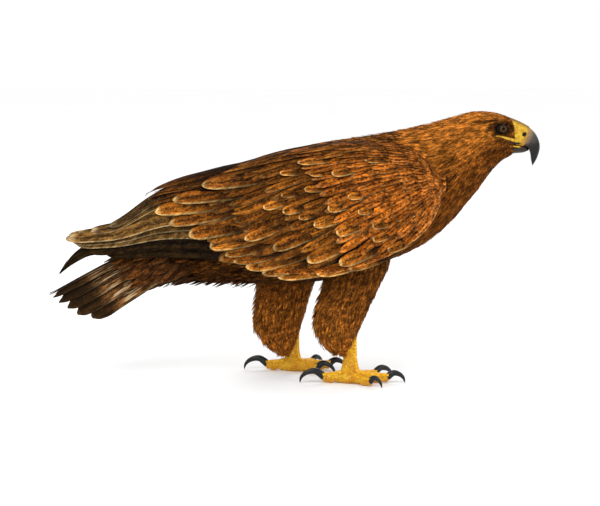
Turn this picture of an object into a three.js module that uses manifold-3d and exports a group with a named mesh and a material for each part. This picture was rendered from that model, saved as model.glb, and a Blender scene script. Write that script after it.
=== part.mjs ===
// Golden eagle, life size, standing: a still model in millimetres.
// +X is forward, +Y is the bird's left, +Z is up. The origin is on the floor, under the middle of the bird's
// length.
import * as THREE from 'three';
import { mergeVertices } from 'three/addons/utils/BufferGeometryUtils.js';
import Module from 'manifold-3d';

const wasm = await Module();
wasm.setup();

// Driving dimensions
const GAP = 0.3; // air between two nodes that touch
const LEFT = 1;
const RIGHT = -1;
const EYE_RADIUS = 8.4;
const EYE = new THREE.Vector3(338, 25.5, 414);
const FOOT_SPREAD = 50; // each foot's distance from the middle plane
const FEET = [
  { side: 'right', sign: RIGHT, x: 94, trouserEnd: 52, lean: 0 },
  { side: 'left', sign: LEFT, x: 0, trouserEnd: 32, lean: -0.17 },
];

// Body stations from the rump to the brow: the height of the back and belly lines and the half width.
const BODY = [
  { x: -232, top: 246, bottom: 178, half: 24 },
  { x: -170, top: 300, bottom: 163, half: 40 },
  { x: -110, top: 337, bottom: 159, half: 54 },
  { x: -40, top: 365, bottom: 157, half: 63 },
  { x: 43, top: 387, bottom: 162, half: 69 },
  { x: 120, top: 400, bottom: 184, half: 73 },
  { x: 175, top: 409, bottom: 205, half: 74 },
  { x: 216, top: 418, bottom: 226, half: 67 },
  { x: 257, top: 429, bottom: 261, half: 56 },
  { x: 290, top: 438, bottom: 301, half: 43.5 },
  { x: 307, top: 440, bottom: 322, half: 39.5 },
  { x: 323, top: 438.5, bottom: 344, half: 36 },
  { x: 340, top: 434.5, bottom: 361, half: 32.5 },
  { x: 354, top: 428.5, bottom: 369, half: 24 },
  { x: 363, top: 422, bottom: 374, half: 14 },
];

// Folded wing stations from the bend of the wing to its tip: the upper edge over the back, the point that
// pulls the section outward, and the lower edge.
const WING = [
  { upper: [240, 56, 344], pull: [246, 68, 332], lower: [242, 62, 316] },
  { upper: [178, 46, 388], pull: [200, 104, 350], lower: [208, 84, 256] },
  { upper: [96, 28, 391], pull: [118, 116, 346], lower: [135, 92, 210] },
  { upper: [10, 18, 380], pull: [28, 112, 334], lower: [46, 92, 188] },
  { upper: [-73, 13, 359], pull: [-58, 100, 306], lower: [-40, 84, 187] },
  { upper: [-147, 12, 335], pull: [-134, 84, 284], lower: [-119, 72, 200] },
  { upper: [-221, 12, 309], pull: [-209, 66, 264], lower: [-196, 58, 203] },
  { upper: [-300, 13, 254], pull: [-292, 48, 236], lower: [-287, 46, 205] },
  { upper: [-376, 12, 240], pull: [-380, 34, 221], lower: [-383, 34, 194] },
];

// The ridge of the folded tail, from the rump to the tips of the middle feathers.
const TAIL_RIDGE = [
  [-160, 0, 264],
  [-290, 0, 203],
  [-406, 0, 139],
];
const TAIL_HALF = [34, 62]; // half width at the root and at the tip
const TAIL_DROP = [68, 108]; // fall of a full quarter turn of the arch, at the root and at the tip

// Trouser stations: height above the trousers' lower end, rear and front measured from the foot, half width,
// distance from the middle plane. The hem rises to the front, where the bare shank shows.
const TROUSER = [
  { up: 0, rear: -24, front: -6, half: 7, out: 50 },
  { up: 7, rear: -40, front: 0, half: 14, out: 50 },
  { up: 20, rear: -52, front: 6, half: 21, out: 49.5 },
  { up: 42, rear: -61, front: 15, half: 27, out: 48 },
  { up: 65, rear: -59, front: 26, half: 30, out: 46 },
  { up: 89, rear: -52, front: 37, half: 31.5, out: 44 },
  { up: 112, rear: -45, front: 48, half: 31.5, out: 42 },
  { up: 135, rear: -40, front: 60, half: 30, out: 41 },
  { up: 160, rear: -34, front: 66, half: 26, out: 40 },
];

// Toes: direction from the foot in degrees (0 is forward, outward is positive), length, radius and talon.
const TOES = [
  { name: 'middle', turn: 4, length: 66, radius: 9, talon: 33 },
  { name: 'inner', turn: -30, length: 52, radius: 9, talon: 40 },
  { name: 'outer', turn: 44, length: 50, radius: 8.2, talon: 29 },
  { name: 'hallux', turn: 176, length: 44, radius: 9.4, talon: 46 },
];

// The bill in the middle plane, as x and z from the brow to the tip: the culmen along its top, the tomium
// along its cutting edge, and the upper and lower lines of the lower bill.
const CULMEN = [
  [350, 431],
  [366, 424.5],
  [380.5, 417],
  [392.5, 407.5],
  [400, 395],
  [402.5, 381],
  [398.5, 365],
  [391.5, 352],
];
const TOMIUM = [
  [338, 391],
  [353, 389],
  [367, 386],
  [377.5, 383.5],
  [384, 379],
  [387, 371],
  [388.5, 361],
  [390.5, 352.6],
];
const LOWER_TOP = [[336, 388.4], [356, 386], [375, 382.3], [383.5, 377.6]];
const LOWER_BOTTOM = [[336, 366], [356, 371], [375, 373.2], [383.3, 376.5]];
const BILL_HALF = 15.5;
const LOWER_BILL_HALF = 12;
const NOSTRIL = { x: 375.5, y: 11.8, z: 404, radii: [3.6, 3, 2.6] };

// The mouth's line on the cheek, from its corner to the bill, and how deep its groove is.
const MOUTH_LINE = [[321, 396.4], [345, 388.5], [364, 385.6]];
const MOUTH_DEPTH = 3;
const MOUTH_HALF = 0.9;

// Ellipsoids of the face, measured from the eye: the opening between the lids, the brow ridge and the lids.
const EYE_OPENING = { offset: [0.6, EYE_RADIUS, -0.4], radii: [7.6, 7, 5.6] };
const BROW = { offset: [1, 3.5, 8.5], radii: [15, 5, 3.4] };
const LIDS = { offset: [0, 4.5, 0], radii: [11, 4.2, 9.4] };

// Tiers of long nape feathers. Places on the head and neck are measured back from the face and in degrees
// from the back line; root is where a feather starts.
const FACE = 363;
const HACKLE_TIERS = [
  { count: 7, widest: 112, root: 70, length: 40, half: 15 },
  { count: 6, widest: 92, root: 90, length: 42, half: 14 },
  { count: 4, widest: 42, root: 122, length: 50, half: 11 },
];

// The wing's feathers, with roots and tips as shares of the folded wing's length, and of its width from the
// lower edge to the upper one.
const WING_ARM_END = 0.64; // the share of the length that the arm and hand fill
const ARM_THICK = [16, 5]; // at the bend and at its end
const WING_TIERS = [
  { count: 7, root: [0.4, 0.46], tip: [0.64, 0.78], rise: 6.4, half: 0.096, outline: 'covert', thick: 1.2 },
  { count: 6, root: [0.29, 0.33], tip: [0.5, 0.63], rise: 6.8, half: 0.107, outline: 'short', thick: 1.1 },
  { count: 7, root: [0.17, 0.2], tip: [0.36, 0.47], rise: 6.8, half: 0.092, outline: 'short', thick: 1.1 },
  { count: 5, root: [0.06, 0.08], tip: [0.23, 0.31], rise: 6.4, half: 0.118, outline: 'short', thick: 1.1 },
];
const ROOT_DEPTH = 2.4; // how deep a vane's root is sunk
const PRIMARY_ROOT = 0.54;
const PRIMARIES = [
  { root: 0.1, tip: [0.985, 0.66], half: 0.17, sag: 0.3, outline: 'broad' },
  { root: 0.26, tip: [0.972, 0.8], half: 0.17, sag: 0.2, outline: 'broad' },
  { root: 0.43, tip: [0.945, 0.91], half: 0.15, sag: 0.12, outline: 'broad' },
  { root: 0.6, tip: [0.89, 0.96], half: 0.13, sag: 0.05, outline: 'broad' },
];
// The outermost primary shows below the others as a dark blade that bends down: shares of its length and
// places across the wing.
const OUTER_PRIMARY = [
  [0, 0.1],
  [0.42, 0],
  [0.6, -0.06],
  [0.76, 0.14],
  [0.87, 0.32],
  [0.95, 0.02],
  [1, -0.34],
];
const SCAPULARS = [
  { root: [0.08, 0.9], tip: [0.38, 0.9] },
  { root: [0.24, 0.85], tip: [0.52, 0.83] },
  { root: [0.24, 0.98], tip: [0.58, 0.97] },
];

const TAIL_PAIRS = 6;
const TAIL_STEP = 14; // degrees round the arch from one tail feather to the next
const TAIL_ROOT = 0.16;
const TAIL_SHORTER = 0.34; // the share of the tail's length by which the outermost feathers fall short
const TAIL_COVERTS = [
  { x: -150, top: 262, bottom: 160, half: 36 },
  { x: -200, top: 244, bottom: 160, half: 38 },
  { x: -240, top: 224, bottom: 152, half: 37 },
  { x: -275, top: 205, bottom: 150, half: 30 },
  { x: -305, top: 188, bottom: 162, half: 16 },
];

const KNEE_UP = 15; // height above the hem about which the trousers lean
const TROUSER_TOP = 160;
const TROUSER_TIERS = [
  { count: 5, from: 66, to: 240, root: 40, tip: -4, half: 15 },
  { count: 5, from: 50, to: 262, root: 72, tip: 26, half: 17 },
];

const TARSUS = { rear: -14, front: 9.5, half: 9, low: 9, top: 40 };
const PALM = { ahead: -3, height: 9.5, radii: [20, 17.5, 12] };
const TOE_START = -4; // where the toes' paths meet, measured from the foot

const MATERIALS = {
  brown: { color: 0x7a4a22, roughness: 0.85 },
  nape: { color: 0xb5722c, roughness: 0.85 },
  wing: { color: 0x8a5526, roughness: 0.8 },
  tail: { color: 0x5a3a20, roughness: 0.8 },
  horn: { color: 0x2a2b2e, roughness: 0.35 },
  yellow: { color: 0xe2a51c, roughness: 0.6 },
  eye: { color: 0x8a5a1e, roughness: 0.08 },
};

// Smooth value at x through stations with a key, by Hermite steps whose slopes never overshoot.
function smooth(stations, key, value, x) {
  const n = stations.length;
  const slope = (i) =>
    (value(stations[i + 1]) - value(stations[i])) / (key(stations[i + 1]) - key(stations[i]));
  const tangent = (i) => {
    if (i === 0) return slope(0);
    if (i === n - 1) return slope(n - 2);
    const a = slope(i - 1);
    const b = slope(i);
    return a * b <= 0 ? 0 : (2 * a * b) / (a + b);
  };
  let i = 0;
  while (i < n - 2 && x > key(stations[i + 1])) i += 1;
  const width = key(stations[i + 1]) - key(stations[i]);
  const t = THREE.MathUtils.clamp((x - key(stations[i])) / width, 0, 1);
  const t2 = t * t;
  const t3 = t2 * t;
  return (
    (2 * t3 - 3 * t2 + 1) * value(stations[i]) +
    (t3 - 2 * t2 + t) * width * tangent(i) +
    (3 * t2 - 2 * t3) * value(stations[i + 1]) +
    (t3 - t2) * width * tangent(i + 1)
  );
}

// Whole numbers from 0 to count - 1.
function steps(count) {
  return Array.from({ length: count }, (_, i) => i);
}

// A closed solid from rings of equal size, each ring a closed loop of points; both ends are capped flat.
function skin(rings) {
  const around = rings[0].length;
  const points = rings.flat();
  const index = [];
  for (let r = 0; r < rings.length - 1; r += 1) {
    for (let k = 0; k < around; k += 1) {
      const a = r * around + k;
      const b = r * around + ((k + 1) % around);
      index.push(a, b, b + around, a, b + around, a + around);
    }
  }
  const last = (rings.length - 1) * around;
  for (let k = 1; k < around - 1; k += 1) {
    index.push(0, k + 1, k, last, last + k, last + k + 1);
  }
  return solid(points, index);
}

// A closed solid between two grids of points, [row][column], split into triangles alike on both faces.
function slab(top, bottom) {
  const rows = top.length;
  const columns = top[0].length;
  const points = [...top.flat(), ...bottom.flat()];
  const index = [];
  const below = rows * columns;
  const at = (r, c) => r * columns + c;
  for (let r = 0; r < rows - 1; r += 1) {
    for (let c = 0; c < columns - 1; c += 1) {
      const corners = [at(r, c), at(r, c + 1), at(r + 1, c + 1), at(r + 1, c)];
      const [i, j, k, l] = corners;
      const [m, n, o, q] = corners.map((corner) => corner + below);
      index.push(i, j, k, i, k, l, m, o, n, m, q, o);
    }
  }
  const rim = [
    ...steps(columns - 1).map((c) => at(0, c)),
    ...steps(rows - 1).map((r) => at(r, columns - 1)),
    ...steps(columns - 1).map((c) => at(rows - 1, columns - 1 - c)),
    ...steps(rows - 1).map((r) => at(rows - 1 - r, 0)),
  ];
  rim.forEach((a, i) => {
    const b = rim[(i + 1) % rim.length];
    index.push(a, a + below, b + below, a, b + below, b);
  });
  return solid(points, index);
}

// A manifold solid from points and triangles, turned so that its faces point out.
function solid(points, index) {
  const positions = new Float32Array(points.flatMap((p) => [p.x, p.y, p.z]));
  let volume = 0;
  for (let i = 0; i < index.length; i += 3) {
    const [a, b, c] = [points[index[i]], points[index[i + 1]], points[index[i + 2]]];
    volume += a.dot(new THREE.Vector3().crossVectors(b, c));
  }
  const triVerts = new Uint32Array(index);
  if (volume < 0) triVerts.reverse();
  return new wasm.Manifold(new wasm.Mesh({ numProp: 3, vertProperties: positions, triVerts }));
}

// A three.js geometry as a manifold solid, after a matrix is applied.
function solidFrom(geometry, matrix) {
  const bare = geometry.clone().applyMatrix4(matrix);
  bare.deleteAttribute('normal');
  bare.deleteAttribute('uv');
  const merged = mergeVertices(bare, 1e-4);
  const position = merged.attributes.position;
  const points = steps(position.count).map((i) => new THREE.Vector3().fromBufferAttribute(position, i));
  return solid(points, Array.from(merged.index.array));
}

// An ellipsoid with given radii, turned by an Euler angle.
function ellipsoid(centre, radii, turn = [0, 0, 0], segments = [12, 8]) {
  const rotation = new THREE.Quaternion().setFromEuler(new THREE.Euler(...turn));
  const matrix = new THREE.Matrix4().compose(centre, rotation, new THREE.Vector3(...radii));
  return solidFrom(new THREE.SphereGeometry(1, ...segments), matrix);
}

// Everything on the side of a plane that its normal points to, as a box much larger than the bird.
function halfSpace(point, normal) {
  const size = 2000;
  const n = normal.clone().normalize();
  const turn = new THREE.Quaternion().setFromUnitVectors(new THREE.Vector3(0, 0, 1), n);
  const centre = point.clone().addScaledVector(n, size / 2);
  return solidFrom(
    new THREE.BoxGeometry(size, size, size),
    new THREE.Matrix4().compose(centre, turn, new THREE.Vector3(1, 1, 1))
  );
}

// The part of a body in front of a cut plane or behind it, half a gap away from the plane.
function ahead(body, cut) {
  const point = cut.point.clone().addScaledVector(cut.normal, GAP / 2);
  return body.intersect(halfSpace(point, cut.normal));
}

function behind(body, cut) {
  const point = cut.point.clone().addScaledVector(cut.normal, -GAP / 2);
  return body.intersect(halfSpace(point, cut.normal.clone().negate()));
}

// The largest closed surface of a solid.
function largest(body) {
  const pieces = body.decompose();
  return pieces.reduce((best, piece) => (piece.volume() > best.volume() ? piece : best));
}

function join(pieces) {
  return pieces.reduce((whole, piece) => whole.add(piece));
}

// The other side's copy of a solid.
function mirrored(body) {
  return body.mirror([0, 1, 0]);
}

// A ring of points round the body at a station, grown outward by extra.
function bodyRing(x, around, extra) {
  const at = (value) => smooth(BODY, (s) => s.x, value, x);
  const top = at((s) => s.top) + extra;
  const bottom = at((s) => s.bottom) - extra;
  const half = at((s) => s.half) + extra;
  const middle = (top + bottom) / 2;
  return steps(around).map((k) => {
    const angle = (2 * Math.PI * k) / around;
    return new THREE.Vector3(x, half * Math.cos(angle), middle + ((top - bottom) / 2) * Math.sin(angle));
  });
}

// Places along the body where it has a ring, closer together towards the head.
const BODY_ROWS = [
  ...steps(9).map((i) => -232 + 42 * i),
  ...steps(7).map((i) => 146 + 20 * i),
  ...steps(8).map((i) => 282 + 10.5 * i),
  361.5,
  363,
];

// The body between two places, each rounded out to the next ring.
function bodySolid(from, to, extra = 0) {
  const rows = BODY_ROWS.filter((x) => x >= from && x <= to);
  return skin(rows.map((x) => bodyRing(x, 22, extra)));
}

// A tube along a curve, its radius a function of the share of its length.
function tube(curve, radius, rows, sides) {
  const side = new THREE.Vector3();
  const up = new THREE.Vector3();
  const rings = steps(rows).map((r) => {
    const t = r / (rows - 1);
    const centre = curve.getPointAt(t);
    const along = curve.getTangentAt(t);
    side.crossVectors(new THREE.Vector3(0, 0, 1), along);
    if (side.length() < 0.2) side.set(0, 1, 0).projectOnPlane(along);
    side.normalize();
    up.crossVectors(along, side).normalize();
    return steps(sides).map((k) => {
      const angle = (2 * Math.PI * (k + 0.5)) / sides;
      return centre
        .clone()
        .addScaledVector(side, radius(t) * Math.cos(angle))
        .addScaledVector(up, radius(t) * Math.sin(angle));
    });
  });
  return skin(rings);
}

// A blade between an upper and a lower curve in the middle plane, round across with a given half width.
function blade(upper, lower, half, rows, sides) {
  return skin(
    steps(rows).map((r) => {
      const t = r / (rows - 1);
      const a = upper.getPoint(t);
      const b = lower.getPoint(t);
      return steps(sides).map((k) => {
        const angle = (2 * Math.PI * k) / sides;
        const point = b.clone().lerp(a, 0.5 + 0.5 * Math.cos(angle));
        point.y = half(t) * Math.sin(angle);
        return point;
      });
    })
  );
}

function curveInPlane(points) {
  return new THREE.CatmullRomCurve3(points.map(([x, z]) => new THREE.Vector3(x, 0, z)));
}

// A point of the folded wing: along from the bend (0) to the tip (1), across from the lower edge (0) to the
// upper one (1).
function wingSurface(along, across) {
  const stations = WING.map((s, i) => ({ ...s, share: i / (WING.length - 1) }));
  const at = (value) => smooth(stations, (s) => s.share, value, along);
  const [low, mid, high] = [(1 - across) ** 2, 2 * across * (1 - across), across ** 2];
  const [x, y, z] = steps(3).map(
    (i) => low * at((s) => s.lower[i]) + mid * at((s) => s.pull[i]) + high * at((s) => s.upper[i])
  );
  return new THREE.Vector3(x, y, z);
}

// The same, lifted off by height.
function wingPoint(along, across, height) {
  const step = 0.01;
  const point = wingSurface(along, across);
  const run = wingSurface(along + step, across).sub(wingSurface(along - step, across));
  const rise = wingSurface(along, across + step).sub(wingSurface(along, across - step));
  const out = new THREE.Vector3().crossVectors(run, rise).normalize();
  if (out.y < 0) out.negate();
  return point.addScaledVector(out, height);
}

// A point of the tail's arch: along from the root (0) to the tip (1), turn in degrees from the ridge, lifted
// off by height.
const ridge = new THREE.CatmullRomCurve3(TAIL_RIDGE.map((p) => new THREE.Vector3(...p)));
function tailPoint(along, turn, height) {
  const angle = THREE.MathUtils.degToRad(turn);
  const half = THREE.MathUtils.lerp(...TAIL_HALF, along) + height;
  const drop = THREE.MathUtils.lerp(...TAIL_DROP, along);
  const top = ridge.getPoint(THREE.MathUtils.clamp(along, 0, 1));
  const fall = drop * (1 - Math.cos(angle)) - height * Math.cos(angle);
  return new THREE.Vector3(top.x, half * Math.sin(angle), top.z - fall);
}

// How wide a vane is at each share of its length, from root to tip.
const VANE_OUTLINES = {
  broad: [[0, 0.5], [0.36, 0.94], [0.84, 0.9], [1, 0.26]],
  covert: [[0, 0.55], [0.45, 1], [0.86, 0.84], [1, 0.3]],
  short: [[0, 0.6], [0.74, 1], [1, 0.36]],
  lance: [[0, 0.7], [0.56, 1], [1, 0.12]],
  sabre: [[0, 0.6], [0.42, 1], [0.74, 0.8], [0.87, 0.66], [0.95, 0.42], [1, 0.12]],
};

// A feather's vane over a surface. place(along, across, height) gives the surface's points, root and tip are
// [along, across], lift is the height at the root and at the tip, half the half width in units of across,
// and roll how much the lower edge stands above the shaft.
function vane(place, { root, tip, lift, half, roll, thick, outline, sag = 0, path = null }) {
  const layer = (depth) =>
    VANE_OUTLINES[outline].map(([share, width]) => {
      const along = THREE.MathUtils.lerp(root[0], tip[0], share);
      const straight = THREE.MathUtils.lerp(root[1], tip[1], share) - sag * 4 * share * (1 - share);
      const across = path ? smooth(path, (p) => p[0], (p) => p[1], share) : straight;
      const height = THREE.MathUtils.lerp(...lift, share) + depth;
      return [-1, 1].map((side) => place(along, across + side * half * width, height - side * roll));
    });
  return slab(layer(thick / 2), layer(-thick / 2));
}

// A tier of vanes side by side. tier(v) gives a vane's measures from its place across the tier (0 to 1).
function tier(place, count, measures) {
  return steps(count).map((i) => vane(place, measures((i + 0.5) / count, i)));
}

// A curved plate between two surfaces of points on the same grid.
function plate(outer, inner, rows, columns) {
  const row = (surface, r) => steps(columns).map((c) => surface(r / (rows - 1), c / (columns - 1)));
  const grid = (surface) => steps(rows).map((r) => row(surface, r));
  return slab(grid(outer), grid(inner));
}

// A plane across the bird through a point of the middle plane.
function cutAt([x, z], [nx, nz]) {
  return { point: new THREE.Vector3(x, 0, z), normal: new THREE.Vector3(nx, 0, nz).normalize() };
}

const neckCut = cutAt([214, 330], [0.93, 0.366]);
const headCut = cutAt([307, 395], [0.894, 0.447]);
const tailCut = cutAt([-196, 214], [0.9, 0.44]);
const billCut = cutAt([382, 403], [0.94, -0.34]);

const bodyClear = bodySolid(-232, 363, GAP);

function torso() {
  return ahead(behind(bodySolid(-232, 290), neckCut), tailCut);
}

// A point of the body's surface at a distance behind the face, turn in degrees from the back line, positive
// to the left, lifted off by height.
function bodyPoint(behindFace, turn, height) {
  const x = FACE - behindFace;
  const at = (value) => smooth(BODY, (s) => s.x, value, x);
  const angle = THREE.MathUtils.degToRad(90 - turn);
  const high = (at((s) => s.top) - at((s) => s.bottom)) / 2 + height;
  const middle = (at((s) => s.top) + at((s) => s.bottom)) / 2;
  const across = (at((s) => s.half) + height) * Math.cos(angle);
  return new THREE.Vector3(x, across, middle + high * Math.sin(angle));
}

// The neck with the long pointed feathers of the nape, whose last tier lies over the back.
function neck() {
  const core = behind(ahead(bodySolid(120, 356), neckCut), headCut);
  const hackles = HACKLE_TIERS.flatMap((t) =>
    tier(bodyPoint, t.count, (v) => {
      const turn = (2 * v - 1) * t.widest;
      const length = t.length * (1 - 0.58 * (2 * v - 1) ** 2);
      const shape = { lift: [-1.4, 2.6], half: t.half, roll: 1.3, thick: 1, outline: 'lance' };
      return { root: [t.root, turn], tip: [t.root + length, turn], ...shape };
    })
  );
  const clearCut = { ...neckCut, point: neckCut.point.clone().addScaledVector(neckCut.normal, GAP) };
  const clear = behind(bodyClear, clearCut);
  return largest(behind(core.add(join(hackles)), headCut).subtract(clear));
}

// An ellipsoid beside one eye, at an offset from the eye's middle.
function byEye(sign, { offset, radii }, extra, turn, segments) {
  const [x, y, z] = offset;
  const centre = new THREE.Vector3(EYE.x + x, sign * (EYE.y + y), EYE.z + z);
  return ellipsoid(centre, radii.map((radius) => radius + extra), turn, segments);
}

// The brow ridge and the lids round each eye.
function browsAndLids(extra = 0) {
  return join(
    [LEFT, RIGHT].map((sign) => {
      const ridgeOver = byEye(sign, BROW, extra, [sign * 0.35, 0.12, sign * -0.25], [10, 6]);
      return ridgeOver.add(byEye(sign, LIDS, extra, [0, 0, sign * -0.2], [12, 8]));
    })
  );
}

function head() {
  const skull = ahead(bodySolid(246, FACE), headCut);
  const eyes = [LEFT, RIGHT].map((sign) => {
    const radius = EYE_RADIUS + GAP;
    const socket = byEye(sign, { offset: [0, 0, 0], radii: [radius, radius, radius] }, 0, [0, 0, 0], [12, 8]);
    return socket.add(byEye(sign, EYE_OPENING, 0, [0, sign * 0.1, 0], [10, 6]));
  });
  const mouth = join([LEFT, RIGHT].map(mouthSlit));
  return largest(skull.add(browsAndLids()).subtract(join(eyes)).subtract(mouth));
}

// The mouth's line on one cheek: a groove that follows the face.
function mouthSlit(sign) {
  const line = curveInPlane(MOUTH_LINE);
  const beyond = 40;
  return skin(
    steps(4).map((r) => {
      const p = line.getPoint(r / 3);
      const at = (value) => smooth(BODY, (s) => s.x, value, p.x);
      const high = (at((s) => s.top) - at((s) => s.bottom)) / 2;
      const level = (p.z - at((s) => s.bottom)) / high - 1;
      const face = at((s) => s.half) * Math.sqrt(Math.max(0, 1 - level ** 2));
      const inner = Math.max(0, face - MOUTH_DEPTH);
      const corner = (y, up) => new THREE.Vector3(p.x, sign * y, p.z + up * MOUTH_HALF);
      return [corner(beyond, 1), corner(inner, 1), corner(inner, -1), corner(beyond, -1)];
    })
  );
}

function eye(sign) {
  const centre = new THREE.Vector3(EYE.x, sign * EYE.y, EYE.z);
  return ellipsoid(centre, [EYE_RADIUS, EYE_RADIUS, EYE_RADIUS], [0, 0, 0], [12, 8]);
}

// The upper bill from the brow to the hooked tip, before it is parted into the cere and the horn.
function upperBill() {
  const half = (t) => BILL_HALF * Math.sqrt(1 - t ** 1.9) * (1 - 0.38 * t) + 0.35;
  const whole = blade(curveInPlane(CULMEN), curveInPlane(TOMIUM), half, 15, 16);
  return whole.subtract(bodyClear).subtract(browsAndLids(GAP));
}

function cere() {
  const nostrils = [LEFT, RIGHT].map((sign) =>
    ellipsoid(new THREE.Vector3(NOSTRIL.x, sign * NOSTRIL.y, NOSTRIL.z), NOSTRIL.radii, [0, 0.5, 0], [8, 6])
  );
  return largest(behind(upperBill(), billCut).subtract(join(nostrils)));
}

function billUpper() {
  return largest(ahead(upperBill(), billCut));
}

function billLower() {
  const half = (t) => LOWER_BILL_HALF * Math.sqrt(1 - 0.93 * t ** 2.4);
  const whole = blade(curveInPlane(LOWER_TOP), curveInPlane(LOWER_BOTTOM), half, 9, 14);
  return largest(whole.subtract(bodyClear).subtract(upperBillClear));
}

const upperBillClear = upperBill().translate([0, 0, -0.5]);

// A wing folded against the body: arm and hand, with primaries, secondaries, tiers of coverts and scapulars.
function wing(sign) {
  const across = (c) => 0.02 + 0.96 * c;
  const arm = plate(
    (r, c) => wingPoint(r * WING_ARM_END, across(c), 1.2),
    (r, c) => wingPoint(r * WING_ARM_END, across(c), -THREE.MathUtils.lerp(...ARM_THICK, r)),
    9,
    7
  );
  const tiers = WING_TIERS.flatMap((t) =>
    tier(wingPoint, t.count, (v) => {
      const [root, tip] = [t.root, t.tip].map((ends) => [THREE.MathUtils.lerp(...ends, v), v]);
      return { ...t, root, tip, lift: [-ROOT_DEPTH, -ROOT_DEPTH + t.rise], roll: 1.7 };
    })
  );
  const primaries = PRIMARIES.map((p, i) => {
    const root = [PRIMARY_ROOT, p.root];
    return vane(wingPoint, { ...p, root, lift: [-3.4, -4.4 + 1.6 * i], roll: 1.3, thick: 1.3 });
  });
  const outermost = vane(wingPoint, {
    root: [PRIMARY_ROOT, 0.1],
    tip: [1, 0],
    path: OUTER_PRIMARY,
    lift: [-3.4, -6.4],
    half: 0.14,
    roll: 0.8,
    thick: 1.3,
    outline: 'sabre',
  });
  const scapulars = SCAPULARS.map((f) =>
    vane(wingPoint, { ...f, lift: [-2, 7.5], half: 0.07, roll: 0.9, thick: 1.2, outline: 'covert' })
  );
  const whole = join([arm, ...tiers, outermost, ...primaries, ...scapulars]);
  return largest((sign === LEFT ? whole : mirrored(whole)).subtract(bodyClear).subtract(tailClear));
}

// The twelve tail feathers: the middle pair lies on top and reaches furthest back.
function tailFeathers() {
  return steps(TAIL_PAIRS).flatMap((i) =>
    [LEFT, RIGHT].map((sign) => {
      const turn = sign * (7 + TAIL_STEP * i);
      const reach = 1 - TAIL_SHORTER * (i / (TAIL_PAIRS - 1)) ** 1.6;
      const top = -1.3 * i - (sign === RIGHT && i === 0 ? 0.9 : 0);
      return vane(tailPoint, {
        root: [TAIL_ROOT, turn * 0.94],
        tip: [reach, turn],
        lift: [-4 + top * 0.6, top],
        half: 9.5,
        roll: -0.9 * sign,
        thick: 1.4,
        outline: 'broad',
      });
    })
  );
}

// The room that the tail needs, as one arched shell out to the tips of its feathers.
function tailRoom() {
  return plate(
    (r, c) => tailPoint(r, THREE.MathUtils.lerp(-92, 92, c), 3),
    (r, c) => tailPoint(r, THREE.MathUtils.lerp(-92, 92, c), -12),
    8,
    15
  );
}

// The flesh and the short coverts at the tail's root.
function tailRoot(extra) {
  const [first, last] = [TAIL_COVERTS[0], TAIL_COVERTS[TAIL_COVERTS.length - 1]];
  const rows = 7;
  return skin(
    steps(rows).map((r) => {
      const x = THREE.MathUtils.lerp(first.x, last.x, r / (rows - 1));
      const at = (value) => smooth(TAIL_COVERTS, (s) => -s.x, value, -x);
      const middle = (at((s) => s.top) + at((s) => s.bottom)) / 2;
      const high = (at((s) => s.top) - at((s) => s.bottom)) / 2 + extra;
      return steps(14).map((k) => {
        const angle = (2 * Math.PI * k) / 14;
        const across = (at((s) => s.half) + extra) * Math.cos(angle);
        return new THREE.Vector3(x, across, middle + high * Math.sin(angle));
      });
    })
  );
}

const tailClear = tailRoot(GAP).add(tailRoom());

function tail() {
  const coverts = tier(tailPoint, 4, (v) => {
    const turn = THREE.MathUtils.lerp(-52, 52, v);
    const shape = { lift: [-1, 6], half: 13, roll: 0.8, thick: 1.2, outline: 'covert' };
    return { root: [0.13, turn], tip: [0.42, turn], ...shape };
  });
  return largest(behind(join([tailRoot(0), ...tailFeathers(), ...coverts]), tailCut));
}

// A point of the trousers: up from the hem, turn in degrees (0 is forward, 90 outward), lifted off by height.
function trouserPoint(foot, up, turn, height) {
  const at = (value) => smooth(TROUSER, (s) => s.up, value, Math.max(up, 0));
  const angle = THREE.MathUtils.degToRad(turn);
  const middle = (at((s) => s.rear) + at((s) => s.front)) / 2 + foot.lean * (up - KNEE_UP);
  const reach = (at((s) => s.front) - at((s) => s.rear)) / 2 + height;
  const across = at((s) => s.out) + (at((s) => s.half) + height) * Math.sin(angle);
  const x = foot.x + middle + reach * Math.cos(angle);
  return new THREE.Vector3(x, foot.sign * across, foot.trouserEnd + up);
}

// The feathered thigh, with long feathers that hang in two tiers round its rear and sides.
function trousers(foot) {
  const rows = 9;
  const sides = 14;
  const ring = (up) => steps(sides).map((k) => trouserPoint(foot, up, (360 * k) / sides, 0));
  const core = skin(steps(rows).map((r) => ring((TROUSER_TOP * r) / (rows - 1))));
  const place = (along, across, height) => trouserPoint(foot, -along, across, height);
  const feathers = TROUSER_TIERS.flatMap((t) =>
    tier(place, t.count, (v) => {
      const turn = THREE.MathUtils.lerp(t.from, t.to, v);
      const shape = { lift: [-2, 4], half: t.half, roll: 0.6, thick: 1.1, outline: 'lance' };
      return { root: [-t.root, turn], tip: [-t.tip, turn], ...shape };
    })
  );
  return join([core, ...feathers]);
}

// The bare shank, from inside the foot up into the trousers.
function shank(foot, extra = 0) {
  const rows = 5;
  const high = foot.trouserEnd + TARSUS.top + extra;
  return skin(
    steps(rows).map((r) => {
      const t = r / (rows - 1);
      const swell = 1 + 0.22 * Math.cos(Math.min(1, t * 2.2) * Math.PI);
      return steps(10).map((k) => {
        const angle = (2 * Math.PI * k) / 10;
        const centre = (TARSUS.rear + TARSUS.front) / 2;
        return new THREE.Vector3(
          foot.x + centre + (((TARSUS.front - TARSUS.rear) / 2) * swell + extra) * Math.cos(angle),
          foot.sign * (FOOT_SPREAD + (TARSUS.half * swell + extra) * Math.sin(angle)),
          THREE.MathUtils.lerp(TARSUS.low, high, t)
        );
      });
    })
  );
}

const floor = halfSpace(new THREE.Vector3(0, 0, 0), new THREE.Vector3(0, 0, 1));

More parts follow.
